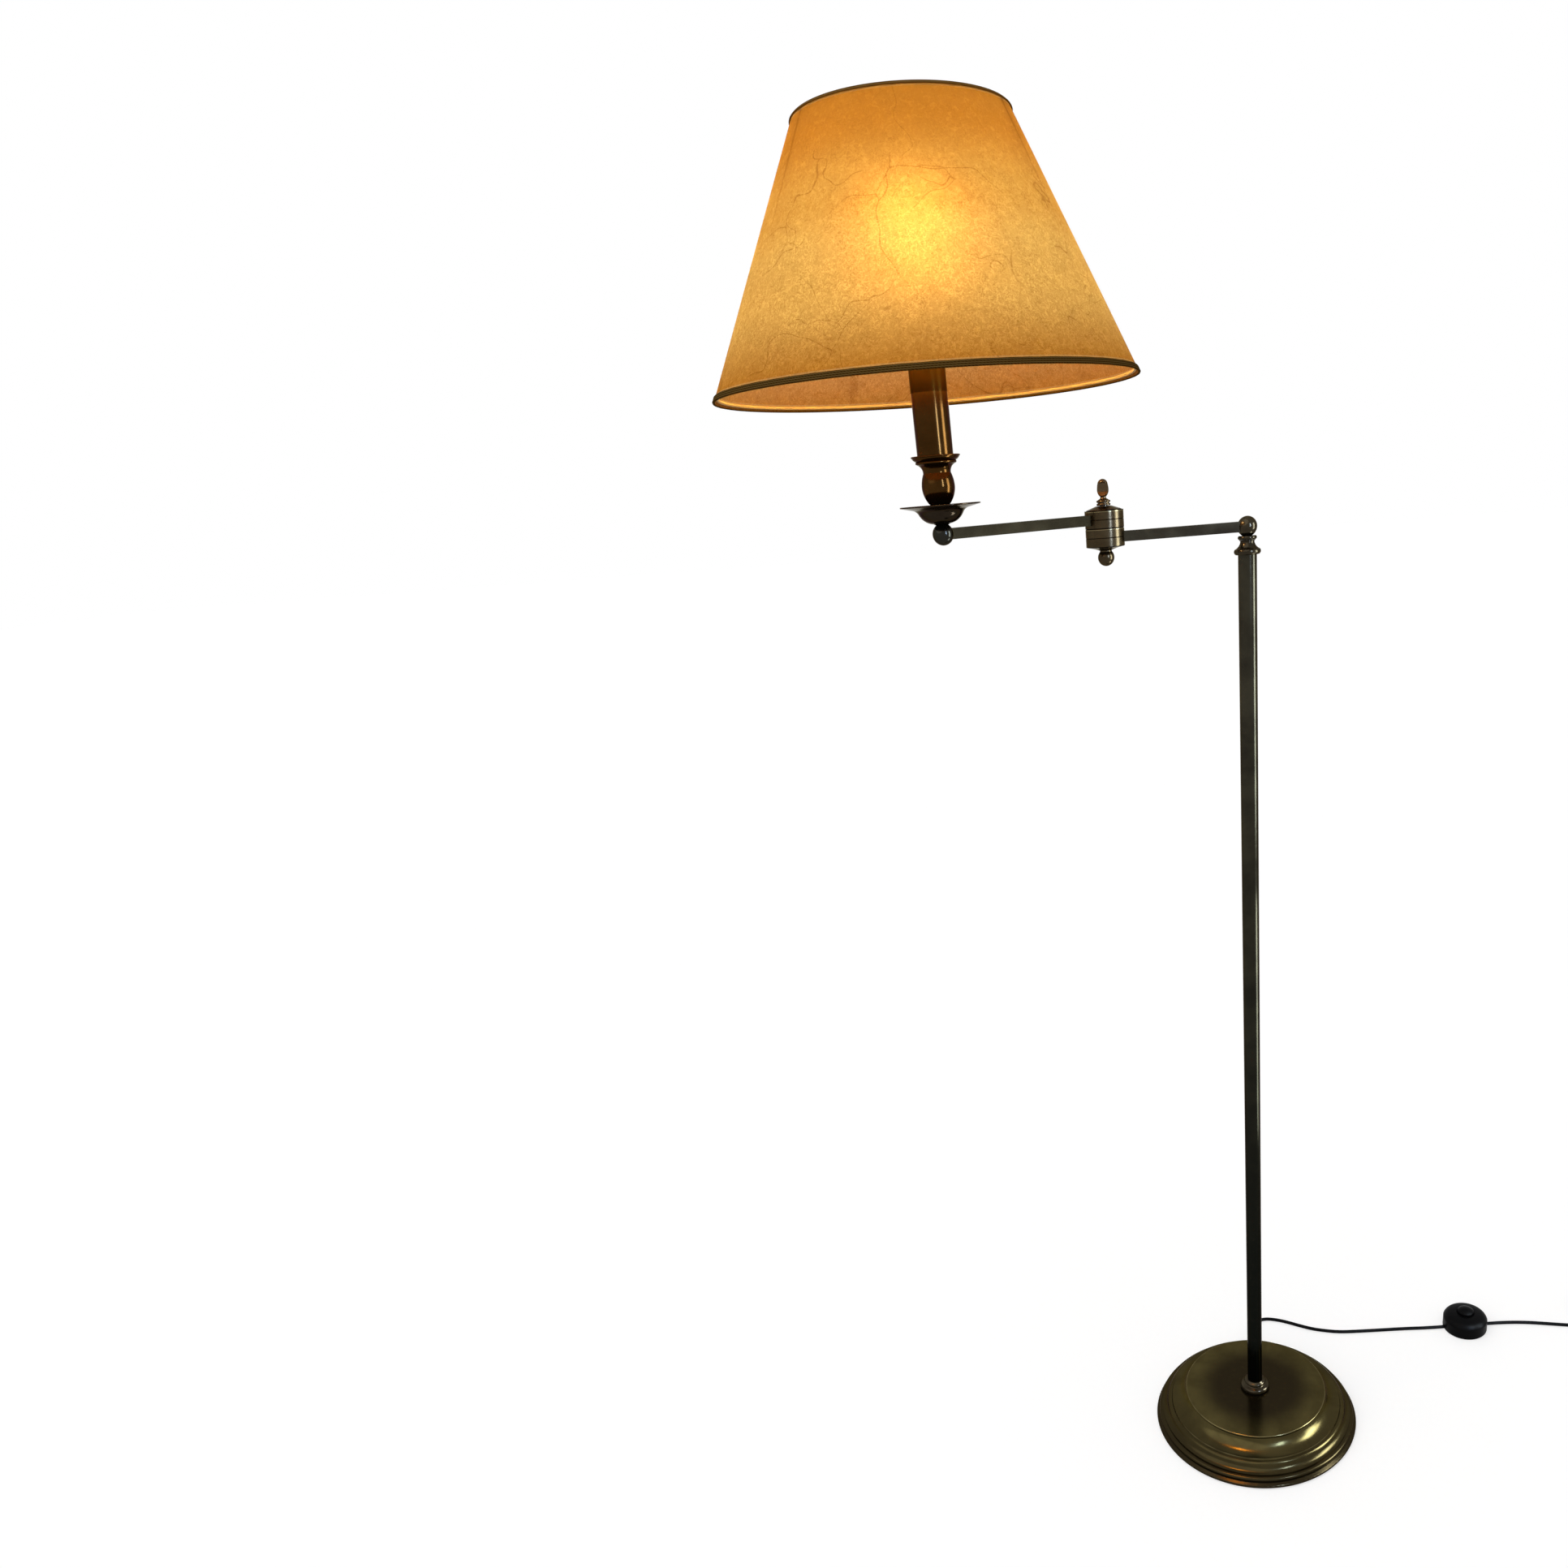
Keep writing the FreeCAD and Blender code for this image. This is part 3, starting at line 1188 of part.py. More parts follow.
def plug():
    """Flat two-pin plug that lies on the floor beside the coil."""
    level = ("plug_x", "plug_y", "plug_thickness / 2")
    node(lying("plug_relief", level, "plug_heading", [
        corner("tip_axis", "0", "0"),
        corner("root_axis", "plug_relief_length", "0"),
        corner("root", "plug_relief_length", ("cord_radius", 2.7)),
        corner("tip", "0", ("cord_radius", 0.7)),
    ]), "plug_relief")
    end = "plug_relief_length + plug_length"
    half = "plug_width / 2"
    body = padded("plug_body", "XY_Plane", ("plug_x", "plug_y", "0"), "plug_heading", [("plug_body", [
        corner("cord_left", "plug_relief_length", "-plug_body_neck_up"),
        through("flare_left", ("plug_relief_length", 10.0), ("-plug_width / 2", 5.4)),
        corner("side_left", ("plug_relief_length", 17.0), f"-{half}"),
        corner("face_left", end, f"-{half}"),
        corner("face_right", end, half),
        corner("side_right", "plug_relief_length + plug_body_side_left_across", half),
        through("flare_right", "plug_relief_length + plug_body_flare_left_across",
                "plug_width / 2 - plug_body_flare_left_up"),
        corner("neck", "plug_relief_length", 7.0),
    ])], "plug_thickness")
    doc.recompute()
    pad = body.Tip
    flat_faces = [f"Face{i + 1}" for i, face in enumerate(pad.Shape.Faces)
                  if abs(face.normalAt(0, 0).z) > 0.9]
    rounded = body.newObject("PartDesign::Fillet", "plug_edges")
    rounded.Base = (pad, flat_faces)
    rounded.setExpression("Radius", bound("plug_edge"))
    body.Tip = rounded
    node(body, "plug_body")
    for label, side in (("plug_pin_1", "-"), ("plug_pin_2", "")):
        at = moved(level, "plug_heading", end, f"{side}pin_spacing / 2")
        node(lying(label, at, "plug_heading", [
            corner("root_axis", "0", "0"),
            corner("tip_axis", "pin_length", "0"),
            through(f"{label}_round", "pin_length - pin_radius * (1 - cos(45))", "pin_radius * sin(45)"),
            corner("shoulder", "pin_length - pin_radius", "pin_radius"),
            corner("root", "0", "pin_radius"),
        ]), label)


def check():
    """Stop at any object that failed and any piece whose solid is missing or not valid."""
    faults = [item.Label for item in doc.Objects if {"Invalid", "Error"} & set(item.State)]
    faults += [item.Label for item in nodes if item.Shape.isNull() or not item.Shape.isValid()]
    faults += [item.Label for item in nodes if len(item.Shape.Solids) != 1]
    if faults:
        raise SystemExit("failed: " + ", ".join(faults))


def main():
    for name, value in SIZES.items():
        cell(name, value)
    sheet.recompute()
    base_pad()
    base_cover()
    base_weight()
    base_fastening()
    base_collar()
    base_relief()
    stem()
    swivel_ring()
    stem_ball()
    arm_one_bar()
    lower_drum()
    lower_lid()
    ball_nut()
    elbow_bolt()
    friction_washer()
    upper_drum()
    upper_lid()
    thumb_screw()
    arm_two_bar()
    drip_pan()
    holder_ball()
    candle_cup()
    candle_tube()
    lampholder()
    shade_clamp_ring()
    holder_nipple()
    bulb()
    shade_paper()
    shade_ring("shade_bottom_ring", "hoop_inset")
    shade_ring("shade_top_ring", "shade_height - hoop_inset")
    shade_trim("shade_trim_bottom", "0", "trim_bottom_height", "-trim_overhang", 3)
    shade_trim("shade_trim_top", "shade_height", "(shade_height - trim_top_height)",
               "shade_height + trim_overhang", 1)
    shade_carrier()
    foot_switch()
    cord()
    plug()
    doc.recompute()
    check()
    os.makedirs("parts", exist_ok=True)
    for item in nodes:
        item.Shape.exportStep(os.path.join("parts", item.Label + ".step"))
    print(len(nodes), "pieces written")


main()
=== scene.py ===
import math

import bmesh
import bpy
from mathutils import Matrix, Vector


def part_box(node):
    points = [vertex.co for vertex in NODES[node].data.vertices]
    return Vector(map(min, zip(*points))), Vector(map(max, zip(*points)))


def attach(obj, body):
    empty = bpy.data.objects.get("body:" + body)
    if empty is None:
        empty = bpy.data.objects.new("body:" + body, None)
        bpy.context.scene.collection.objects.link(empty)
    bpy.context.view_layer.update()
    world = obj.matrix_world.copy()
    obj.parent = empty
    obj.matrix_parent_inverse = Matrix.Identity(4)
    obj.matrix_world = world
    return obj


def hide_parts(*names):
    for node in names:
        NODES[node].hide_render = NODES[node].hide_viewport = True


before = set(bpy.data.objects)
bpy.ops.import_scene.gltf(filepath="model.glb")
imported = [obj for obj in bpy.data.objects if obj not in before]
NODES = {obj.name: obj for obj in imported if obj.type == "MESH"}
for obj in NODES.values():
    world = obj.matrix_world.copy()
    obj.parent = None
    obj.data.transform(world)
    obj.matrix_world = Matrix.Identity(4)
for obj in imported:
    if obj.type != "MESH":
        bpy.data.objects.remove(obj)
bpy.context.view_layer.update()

# Floor reading lamp: its looks, over the fixed model. Metres, +Z up, the stem on the Z axis.

SCENE = bpy.context.scene


# Camera, fitted to the photograph's outlines in its frame of 1932 pixels

PHOTO_SIDE = 1932
FOCAL_PIXELS = 1445.9
PRINCIPAL_PIXEL = (1288.7, 1191.5)
CAMERA_PLACE = Vector((-0.0398, -1.338, 1.2437))
CAMERA_YAW = -0.1571
CAMERA_PITCH = 0.3832
CAMERA_ROLL = -0.0796
SENSOR_WIDTH = 36.0
NEAREST_SEEN = 0.05
FARTHEST_SEEN = 100.0


def make_camera():
    data = bpy.data.cameras.new("photo_camera")
    camera = bpy.data.objects.new("photo_camera", data)
    SCENE.collection.objects.link(camera)
    forward = Vector((math.sin(CAMERA_YAW) * math.cos(CAMERA_PITCH),
                      math.cos(CAMERA_YAW) * math.cos(CAMERA_PITCH), -math.sin(CAMERA_PITCH)))
    level = Vector((math.cos(CAMERA_YAW), -math.sin(CAMERA_YAW), 0))
    above = level.cross(forward)
    right = math.cos(CAMERA_ROLL) * level + math.sin(CAMERA_ROLL) * above
    up = -math.sin(CAMERA_ROLL) * level + math.cos(CAMERA_ROLL) * above
    turn = Matrix((right, up, -forward)).transposed()
    camera.matrix_world = Matrix.Translation(CAMERA_PLACE) @ turn.to_4x4()
    data.sensor_fit = "HORIZONTAL"
    data.sensor_width = SENSOR_WIDTH
    data.lens = SENSOR_WIDTH * FOCAL_PIXELS / PHOTO_SIDE
    data.shift_x = (PHOTO_SIDE / 2 - PRINCIPAL_PIXEL[0]) / PHOTO_SIDE
    data.shift_y = (PRINCIPAL_PIXEL[1] - PHOTO_SIDE / 2) / PHOTO_SIDE
    data.clip_start = NEAREST_SEEN
    data.clip_end = FARTHEST_SEEN
    SCENE.camera = camera


# Meshes

def join_rings(shape, rings, following):
    """Faces between each closed ring of points and the one that follows it."""
    for here, there in zip(rings, following):
        for i in range(len(here)):
            k = (i + 1) % len(here)
            face = shape.faces.new((here[i], here[k], there[k], there[i]))
            face.smooth = True


def object_from(name, shape):
    """The finished shape as an object of the scene."""
    mesh = bpy.data.meshes.new(name)
    shape.to_mesh(mesh)
    shape.free()
    piece = bpy.data.objects.new(name, mesh)
    SCENE.collection.objects.link(piece)
    return piece


# Materials

def colour_socket(sockets, name):
    """A mix node has several sockets of one name, one for each kind of value; this is the colour's."""
    return next(socket for socket in sockets if socket.name == name and socket.type == "RGBA")


class Surface:
    """A material's node tree, with short calls for the nodes that the patterns need."""

    def __init__(self, name):
        self.material = bpy.data.materials.new(name)
        self.material.use_nodes = True
        self.tree = self.material.node_tree
        self.shader = self.tree.nodes["Principled BSDF"]
        coordinates = self.tree.nodes.new("ShaderNodeTexCoord")
        self.place = coordinates.outputs["Object"]

    def put(self, value, socket):
        """Link a socket's value, or set a plain one."""
        if isinstance(value, bpy.types.NodeSocket):
            self.tree.links.new(value, socket)
        else:
            socket.default_value = value

    def set(self, **values):
        """Set the shader's sockets; an underscore in a keyword stands for a space."""
        for name, value in values.items():
            self.put(value, self.shader.inputs[name.replace("_", " ")])

    def maths(self, operation, *values, clamp=False):
        node = self.tree.nodes.new("ShaderNodeMath")
        node.operation = operation
        node.use_clamp = clamp
        for value, socket in zip(values, node.inputs):
            self.put(value, socket)
        return node.outputs[0]

    def add(self, a, b):
        return self.maths("ADD", a, b)

    def times(self, a, b):
        return self.maths("MULTIPLY", a, b)

    def apart(self, a, b):
        """How far apart two values are."""
        return self.maths("ABSOLUTE", self.maths("SUBTRACT", a, b))

    def most(self, values):
        """The largest of the values."""
        largest = values[0]
        for value in values[1:]:
            largest = self.maths("MAXIMUM", largest, value)
        return largest

    def vector(self, operation, a, b):
        node = self.tree.nodes.new("ShaderNodeVectorMath")
        node.operation = operation
        self.put(a, node.inputs[0])
        self.put(b, node.inputs[1])
        return node.outputs[0]

    def parts(self, vector):
        node = self.tree.nodes.new("ShaderNodeSeparateXYZ")
        self.put(vector, node.inputs[0])
        return node.outputs

    def join(self, x, y, z):
        node = self.tree.nodes.new("ShaderNodeCombineXYZ")
        for value, socket in zip((x, y, z), node.inputs):
            self.put(value, socket)
        return node.outputs[0]

    def ramp(self, value, low, high, start=0.0, end=1.0):
        """Smooth step from start to end as a value goes from low to high."""
        node = self.tree.nodes.new("ShaderNodeMapRange")
        node.interpolation_type = "SMOOTHSTEP"
        for given, socket in zip((value, low, high, start, end), node.inputs):
            self.put(given, socket)
        return node.outputs[0]

    def near(self, distance, full, gone, strength=1.0):
        """A mark at its strength up to one distance, that is gone at another."""
        return self.ramp(distance, full, gone, start=strength, end=0.0)

    def noise(self, vector, scale, detail=3.0, roughness=0.55, distortion=0.0):
        node = self.tree.nodes.new("ShaderNodeTexNoise")
        self.put(vector, node.inputs["Vector"])
        node.inputs["Scale"].default_value = scale
        node.inputs["Detail"].default_value = detail
        node.inputs["Roughness"].default_value = roughness
        node.inputs["Distortion"].default_value = distortion
        return node.outputs["Fac"]

    def bent(self, vector, scale, reach):
        """The vector, pushed about by a noise as far as the reach."""
        node = self.tree.nodes.new("ShaderNodeTexNoise")
        self.put(vector, node.inputs["Vector"])
        node.inputs["Scale"].default_value = scale
        node.inputs["Detail"].default_value = 2.0
        return self.vector("ADD", vector, self.vector("MULTIPLY", node.outputs["Color"], (reach,) * 3))

    def cell_edge(self, vector, scale):
        """Distance to the nearest edge between irregular cells."""
        node = self.tree.nodes.new("ShaderNodeTexVoronoi")
        node.feature = "DISTANCE_TO_EDGE"
        self.put(vector, node.inputs["Vector"])
        node.inputs["Scale"].default_value = scale
        return node.outputs["Distance"]

    def mix(self, share, a, b):
        """Mix two colours."""
        node = self.tree.nodes.new("ShaderNodeMix")
        node.data_type = "RGBA"
        self.put(share, node.inputs["Factor"])
        for value, name in ((a, "A"), (b, "B")):
            colour = value if isinstance(value, bpy.types.NodeSocket) else (*value, 1.0)
            self.put(colour, colour_socket(node.inputs, name))
        return colour_socket(node.outputs, "Result")

    def bump(self, height, distance):
        node = self.tree.nodes.new("ShaderNodeBump")
        node.inputs["Strength"].default_value = 1.0
        node.inputs["Distance"].default_value = distance
        self.put(height, node.inputs["Height"])
        self.put(node.outputs[0], self.shader.inputs["Normal"])

    def spin(self, axis):
        """Distance from a vertical axis, height, and heading of each point."""
        x, y, z = self.parts(self.place)
        east = self.maths("SUBTRACT", x, axis[0])
        north = self.maths("SUBTRACT", y, axis[1])
        reach = self.maths("SQRT", self.add(self.times(east, east), self.times(north, north)))
        return reach, z, self.maths("ARCTAN2", north, east)


def rgb(*steps):
    """A colour given in the screen's 0 to 255 steps, all over 10, as the shader's linear numbers."""
    return tuple(((step / 255 + 0.055) / 1.055) ** 2.4 for step in steps)


def scaled(colour, share):
    return tuple(share * part for part in colour)


# Metal, in linear colours that are dark because the studio round it is white

WORN_BRASS_AND_GLINT = (0.30, 0.25, 0.13)
SOOT = (0.004, 0.003, 0.002)
LACQUER_TINT = (0.45, 0.41, 0.33, 1.0)
TURNED_LINES = 900.0
DRAWN_LINES = 700.0
DRAWN_STREAKS = 10.0
GROOVE_HALF = 0.0003
GROOVE_SOFT = 0.0008
GLINT_BELOW = 0.0011
GLINT_REACH = 0.0005


def drawn_marks(s, heading):
    """Coordinates for long fine streaks along a bar that lies at a heading."""
    x, y, z = s.parts(s.place)
    lengthwise = s.add(s.times(x, math.cos(heading)), s.times(y, math.sin(heading)))
    crosswise = s.add(s.times(x, -math.sin(heading)), s.times(y, math.cos(heading)))
    return s.join(s.times(lengthwise, DRAWN_STREAKS),
                  s.times(crosswise, DRAWN_LINES), s.times(z, DRAWN_LINES))


def rubbed_rings(s, reach, height, edges, rub):
    """Patchy wear on rings round the axis, each given as (distance from the axis, height, width)."""
    marks = []
    for ring, level, wide in edges:
        off = s.maths("SUBTRACT", reach, ring)
        rise = s.maths("SUBTRACT", height, level)
        marks.append(s.near(s.maths("SQRT", s.add(s.times(off, off), s.times(rise, rise))), 0.0, wide))
    patchy = s.ramp(s.noise(s.place, scale=60.0, detail=2.0), 0.3, 0.65, start=0.25)
    return s.times(s.most(marks), s.times(patchy, rub))


def antique_brass(name, axis, dark, pale, roughness, along=None, zone=None, fade=None, painted_light=None,
                  edges=(), rub=0.8, grooves=()):
    """Lacquered patina, turned about a vertical axis or drawn along a heading.

    Zone holds two distances from the axis and fade two heights, over which the painted light colour gives
    way to
    the patina: painted shade where it is darker, a painted reflection where it is brighter. Edges are the
    rings that are rubbed bare and grooves the heights of dark lines, each with a painted highlight just
    below it."""
    s = Surface(name)
    reach, height, angle = s.spin(axis)
    if along is None:
        marks = s.join(s.times(reach, TURNED_LINES), s.times(height, TURNED_LINES), s.times(angle, 0.5))
    else:
        marks = drawn_marks(s, along)
    lines = s.noise(marks, scale=1.0, roughness=0.6)
    cloud = s.ramp(s.noise(s.place, scale=26.0, detail=4.0, distortion=0.3), 0.3, 0.72)
    stain = s.ramp(s.noise(s.place, scale=160.0, roughness=0.6), 0.5, 0.72)
    colour = s.mix(s.add(s.times(cloud, 0.75), s.times(lines, 0.25)), dark, pale)
    # Painted light: the painted_light colour stands for shade or a reflection at these distances and heights
    for value, ends in ((reach, zone), (height, fade)):
        if ends is not None:
            colour = s.mix(s.ramp(value, *ends), painted_light, colour)
    colour = s.mix(s.times(stain, 0.2), colour, dark)
    if edges:
        colour = s.mix(rubbed_rings(s, reach, height, edges, rub), colour, WORN_BRASS_AND_GLINT)
    for level in grooves:
        below = s.maths("SUBTRACT", level, height)
        # Painted highlight: a pale line just below each groove
        glint = s.near(s.apart(below, GLINT_BELOW), 0.0, GLINT_REACH, strength=0.6)
        colour = s.mix(glint, colour, WORN_BRASS_AND_GLINT)
        groove = s.near(s.maths("ABSOLUTE", below), GROOVE_HALF, GROOVE_SOFT, strength=0.92)
        colour = s.mix(groove, colour, SOOT)
    uneven = s.add(s.times(cloud, 0.03), s.times(stain, 0.03))
    s.set(Base_Color=colour, Metallic=0.8, Roughness=s.add(uneven, roughness - 0.02))
    s.set(Specular_Tint=LACQUER_TINT, Specular_IOR_Level=0.08)
    s.bump(lines, 0.0000015)
    return s.material


def plain_metal(name, colour, roughness):
    s = Surface(name)
    grain = s.noise(s.place, scale=420.0, roughness=0.6)
    tone = s.mix(s.ramp(grain, 0.35, 0.7), scaled(colour, 0.75), colour)
    s.set(Base_Color=tone, Metallic=1.0, Roughness=s.add(s.times(grain, 0.15), roughness))
    s.bump(grain, 0.00002)
    return s.material


def moulded(name, colour, roughness, grain_scale=1600.0, dust=rgb(62, 60, 58)):
    """Moulded plastic or rubber with a fine sparked grain and a little dust on it."""
    s = Surface(name)
    grain = s.noise(s.place, grain_scale, detail=2.0, roughness=0.6)
    settled = s.ramp(s.noise(s.place, scale=55.0, detail=4.0, roughness=0.65), 0.55, 0.8)
    tone = s.mix(s.times(settled, 0.05), colour, dust)
    s.set(Base_Color=tone, Roughness=s.add(s.times(grain, 0.12), roughness), Specular_IOR_Level=0.03)
    s.bump(grain, 0.00003)
    return s.material


# Shade

HOLDER_LOW, HOLDER_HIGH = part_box("candle_tube")
SHADE_AXIS = ((HOLDER_LOW.x + HOLDER_HIGH.x) / 2, (HOLDER_LOW.y + HOLDER_HIGH.y) / 2)
PAPER_LOW, PAPER_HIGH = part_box("shade_paper")
PAPER_HEIGHT = PAPER_HIGH.z - PAPER_LOW.z
PAPER_HALF = 0.0004
TOP_TRIM_LOW, TOP_TRIM_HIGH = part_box("shade_trim_top")
TOP_TRIM_PROUD = 0.0021
PAPER_FOOT_RADIUS = (PAPER_HIGH.x - PAPER_LOW.x) / 2 - PAPER_HALF
PAPER_TOP_RADIUS = (TOP_TRIM_HIGH.x - TOP_TRIM_LOW.x) / 2 - TOP_TRIM_PROUD
SHADE_STEPS = 360
PAPER_LEVELS = 72
# Waves round the paper: how many, their twist on the way up, where they start, and their depth
PAPER_WAVES = ((5, 2.2, 0.0, 0.00022), (11, -5.0, 1.3, 0.00014))
SEAM_HEADING = math.radians(127)
SEAM_WIDTH = 0.009
SEAM_STEP = 0.0003
CARRIER_HEADINGS = [math.radians(turn) for turn in (-136.2, -16.2, 103.8)]

PAPER_OUTSIDE = (0.275, 0.058, 0.002)
PAPER_GLOW = (1.0, 0.33, 0.012)
PAPER_HEM = (0.5, 0.34, 0.16)
# Colours that the bulb's light takes on its way through, each with its share of the paper's height; their
# change with height is painted light, brightest a quarter of the way up and dimmest at the top
PAPER_THROUGH_PAINTED = [(0.00, (0.31, 0.205, 0.046)), (0.26, (0.45, 0.385, 0.145)), (0.44, (0.34, 0.300, 0.120)),
                 (0.62, (0.24, 0.190, 0.064)), (0.90, (0.18, 0.104, 0.021))]

BOTTOM_TAPE = 0.0049
TOP_TAPE = 0.0020
TAPE_SKIN = 0.0006
TAPE_CORD = 0.00055
TAPE_POINTS_PER_CORD = 6
TAPE_FOLD = 0.0006
TAPE_FOLD_SHOULDER = 0.00045
TAPE_TUCK = 0.0003
TAPE_TUCK_SKIN = 0.0007
TAPE_CLEARANCE = 0.0001
# Unevenness of the tape's free edge: how many waves, where they start, and their depth
TAPE_WAVES = ((37, 0.0, 0.00006), (61, 1.0, 0.00005))
TAPE_STITCHES = 420.0
TAPE_STITCH_LEAN = 3000.0
TAPE_GLOW = (1.0, 0.36, 0.04, 1.0)
HEM_OFFSET = 0.0007


def shade_point(turn, radius, level):
    return (SHADE_AXIS[0] + radius * math.cos(turn), SHADE_AXIS[1] + radius * math.sin(turn), level)


def paper_cone():
    """One sheet with a lapped seam and a faint waviness, at the middle of the paper's thickness."""
    shape = bmesh.new()
    rings = []
    for j in range(PAPER_LEVELS + 1):
        share = j / PAPER_LEVELS
        ring = []
        for i in range(SHADE_STEPS):
            turn = 2 * math.pi * i / SHADE_STEPS
            wave = sum(depth * math.sin(count * turn + twist * share + start)
                       for count, twist, start, depth in PAPER_WAVES)
            radius = PAPER_FOOT_RADIUS + (PAPER_TOP_RADIUS - PAPER_FOOT_RADIUS) * share
            radius += wave * math.sin(math.pi * share)
            from_seam = abs(math.remainder(turn - SEAM_HEADING, 2 * math.pi)) * radius
            if from_seam < SEAM_WIDTH / 2:
                radius -= SEAM_STEP
            ring.append(shape.verts.new(shade_point(turn, radius, PAPER_LOW.z + PAPER_HEIGHT * share)))
        rings.append(ring)
    join_rings(shape, rings, rings[1:])
    cone = object_from("paper_cone", shape)
    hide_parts("shade_paper")
    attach(cone, "shade_arm")
    return cone


def crease_lines(s, scale, width, seed):
    """Thin wandering lines that come and go: the edges of large bent cells, in patches."""
    shifted = s.vector("ADD", s.place, (seed, 0.7 * seed, 0.3 * seed))
    edge = s.cell_edge(s.bent(shifted, 1.6 * scale, 0.9 / scale), scale)
    line = s.near(edge, 0.2 * width * scale, width * scale)
    return s.times(line, s.ramp(s.noise(shifted, 1.3 * scale, detail=1.0), 0.47, 0.60))


def wandering_lines(s, scale, width, seed):
    """A net of fine curled lines, where a bent noise passes through its middle value."""
    shifted = s.vector("ADD", s.place, (seed, 0.4 * seed, 0.8 * seed))
    field = s.noise(shifted, scale, detail=2.0, roughness=0.6, distortion=1.6)
    return s.near(s.apart(field, 0.5), 0.0, width)


def carrier_shadow(s, reach, height, angle):
    """Soft shadows of the three carrier arms, which fade on the way down."""
    lines = [s.near(s.times(s.apart(angle, heading), reach), 0.0008, 0.0030) for heading in CARRIER_HEADINGS]
    up = s.ramp(height, PAPER_LOW.z, PAPER_HIGH.z)
    return s.times(s.most(lines), s.ramp(up, 0.45, 0.95))


def lit_paper(name):
    """Parchment that lets the bulb through, with a painted glow: mottled fibres, fine creases and a lapped
    seam.
    """
    s = Surface(name)
    reach, height, angle = s.spin(SHADE_AXIS)
    level = s.maths("DIVIDE", s.maths("SUBTRACT", height, PAPER_LOW.z), PAPER_HEIGHT)

    lively = s.ramp(level, 0.45, 1.0, start=1.0, end=0.35)
    clump = s.ramp(s.noise(s.place, scale=60.0, roughness=0.6, distortion=1.0), 0.34, 0.66)
    thread = s.times(wandering_lines(s, scale=210.0, width=0.05, seed=2.3), s.add(s.times(clump, 0.5), 0.5))
    thread = s.times(thread, lively)
    patches = s.ramp(s.noise(s.place, scale=45.0, detail=2.0), 0.35, 0.6, start=0.45)
    gleam = s.times(wandering_lines(s, scale=170.0, width=0.06, seed=5.9), patches)
    gleam = s.times(gleam, lively)
    fleck = s.ramp(s.noise(s.place, scale=260.0, detail=2.0, roughness=0.5, distortion=0.8), 0.52, 0.72)
    creases = s.most([crease_lines(s, scale=6.0, width=0.0007, seed=3.1),
                      crease_lines(s, scale=10.0, width=0.0006, seed=8.4)])
    lap = s.near(s.times(s.apart(angle, SEAM_HEADING), reach), SEAM_WIDTH / 2 - PAPER_HALF, SEAM_WIDTH / 2)
    shadow = carrier_shadow(s, reach, height, angle)

    dark = s.add(s.times(thread, 0.40), s.times(creases, 0.40))
    dark = s.add(dark, s.times(clump, 0.06))
    dark = s.add(dark, s.add(s.times(lap, 0.2), s.times(shadow, 0.30)))
    bright = s.add(s.times(gleam, 0.50), s.times(fleck, 0.28))
    clear = s.maths("SUBTRACT", s.add(bright, 0.56), dark, clamp=True)

    hem_low = s.apart(height, PAPER_LOW.z + BOTTOM_TAPE + HEM_OFFSET)
    hem_high = s.apart(height, PAPER_HIGH.z - TOP_TAPE - HEM_OFFSET)
    hem = s.near(s.maths("MINIMUM", hem_low, hem_high), 0.0004, 0.0011)
    outside = s.mix(clear, scaled(PAPER_OUTSIDE, 0.75), scaled(PAPER_OUTSIDE, 1.12))
    outside = s.mix(s.times(hem, 0.5), outside, PAPER_HEM)
    s.set(Base_Color=outside, Roughness=0.6, Specular_IOR_Level=0.0, Transmission_Weight=0.065, IOR=1.4)
    # Painted glow: an emission that stands in for the bulb's light in the paper
    s.set(Emission_Color=(*PAPER_GLOW, 1.0), Emission_Strength=s.add(s.times(clear, 0.06), 0.13))
    s.bump(s.add(s.times(gleam, 0.4), s.times(s.add(thread, s.times(creases, 1.5)), -0.4)), 0.0008)
    let_light_through(s, level, clear, share=0.40)
    return s.material


def let_light_through(s, level, clear, share):
    """Mix in a translucent shader, in colours that change with the level: painted light, brightest a quarter
    of the way up and dimmest at the top.
    """
    through = s.tree.nodes.new("ShaderNodeBsdfTranslucent")
    colour = PAPER_THROUGH_PAINTED[0][1]
    for (start, _), (end, tint) in zip(PAPER_THROUGH_PAINTED, PAPER_THROUGH_PAINTED[1:]):
        colour = s.mix(s.ramp(level, start, end), colour, tint)
    strength = s.add(s.times(clear, 1.05), 0.35)
    s.put(s.vector("MULTIPLY", colour, s.join(strength, strength, strength)), through.inputs["Color"])
    both = s.tree.nodes.new("ShaderNodeMixShader")
    both.inputs["Fac"].default_value = share
    s.tree.links.new(s.shader.outputs[0], both.inputs[1])
    s.tree.links.new(through.outputs[0], both.inputs[2])
    s.tree.links.new(both.outputs[0], s.tree.nodes["Material Output"].inputs["Surface"])


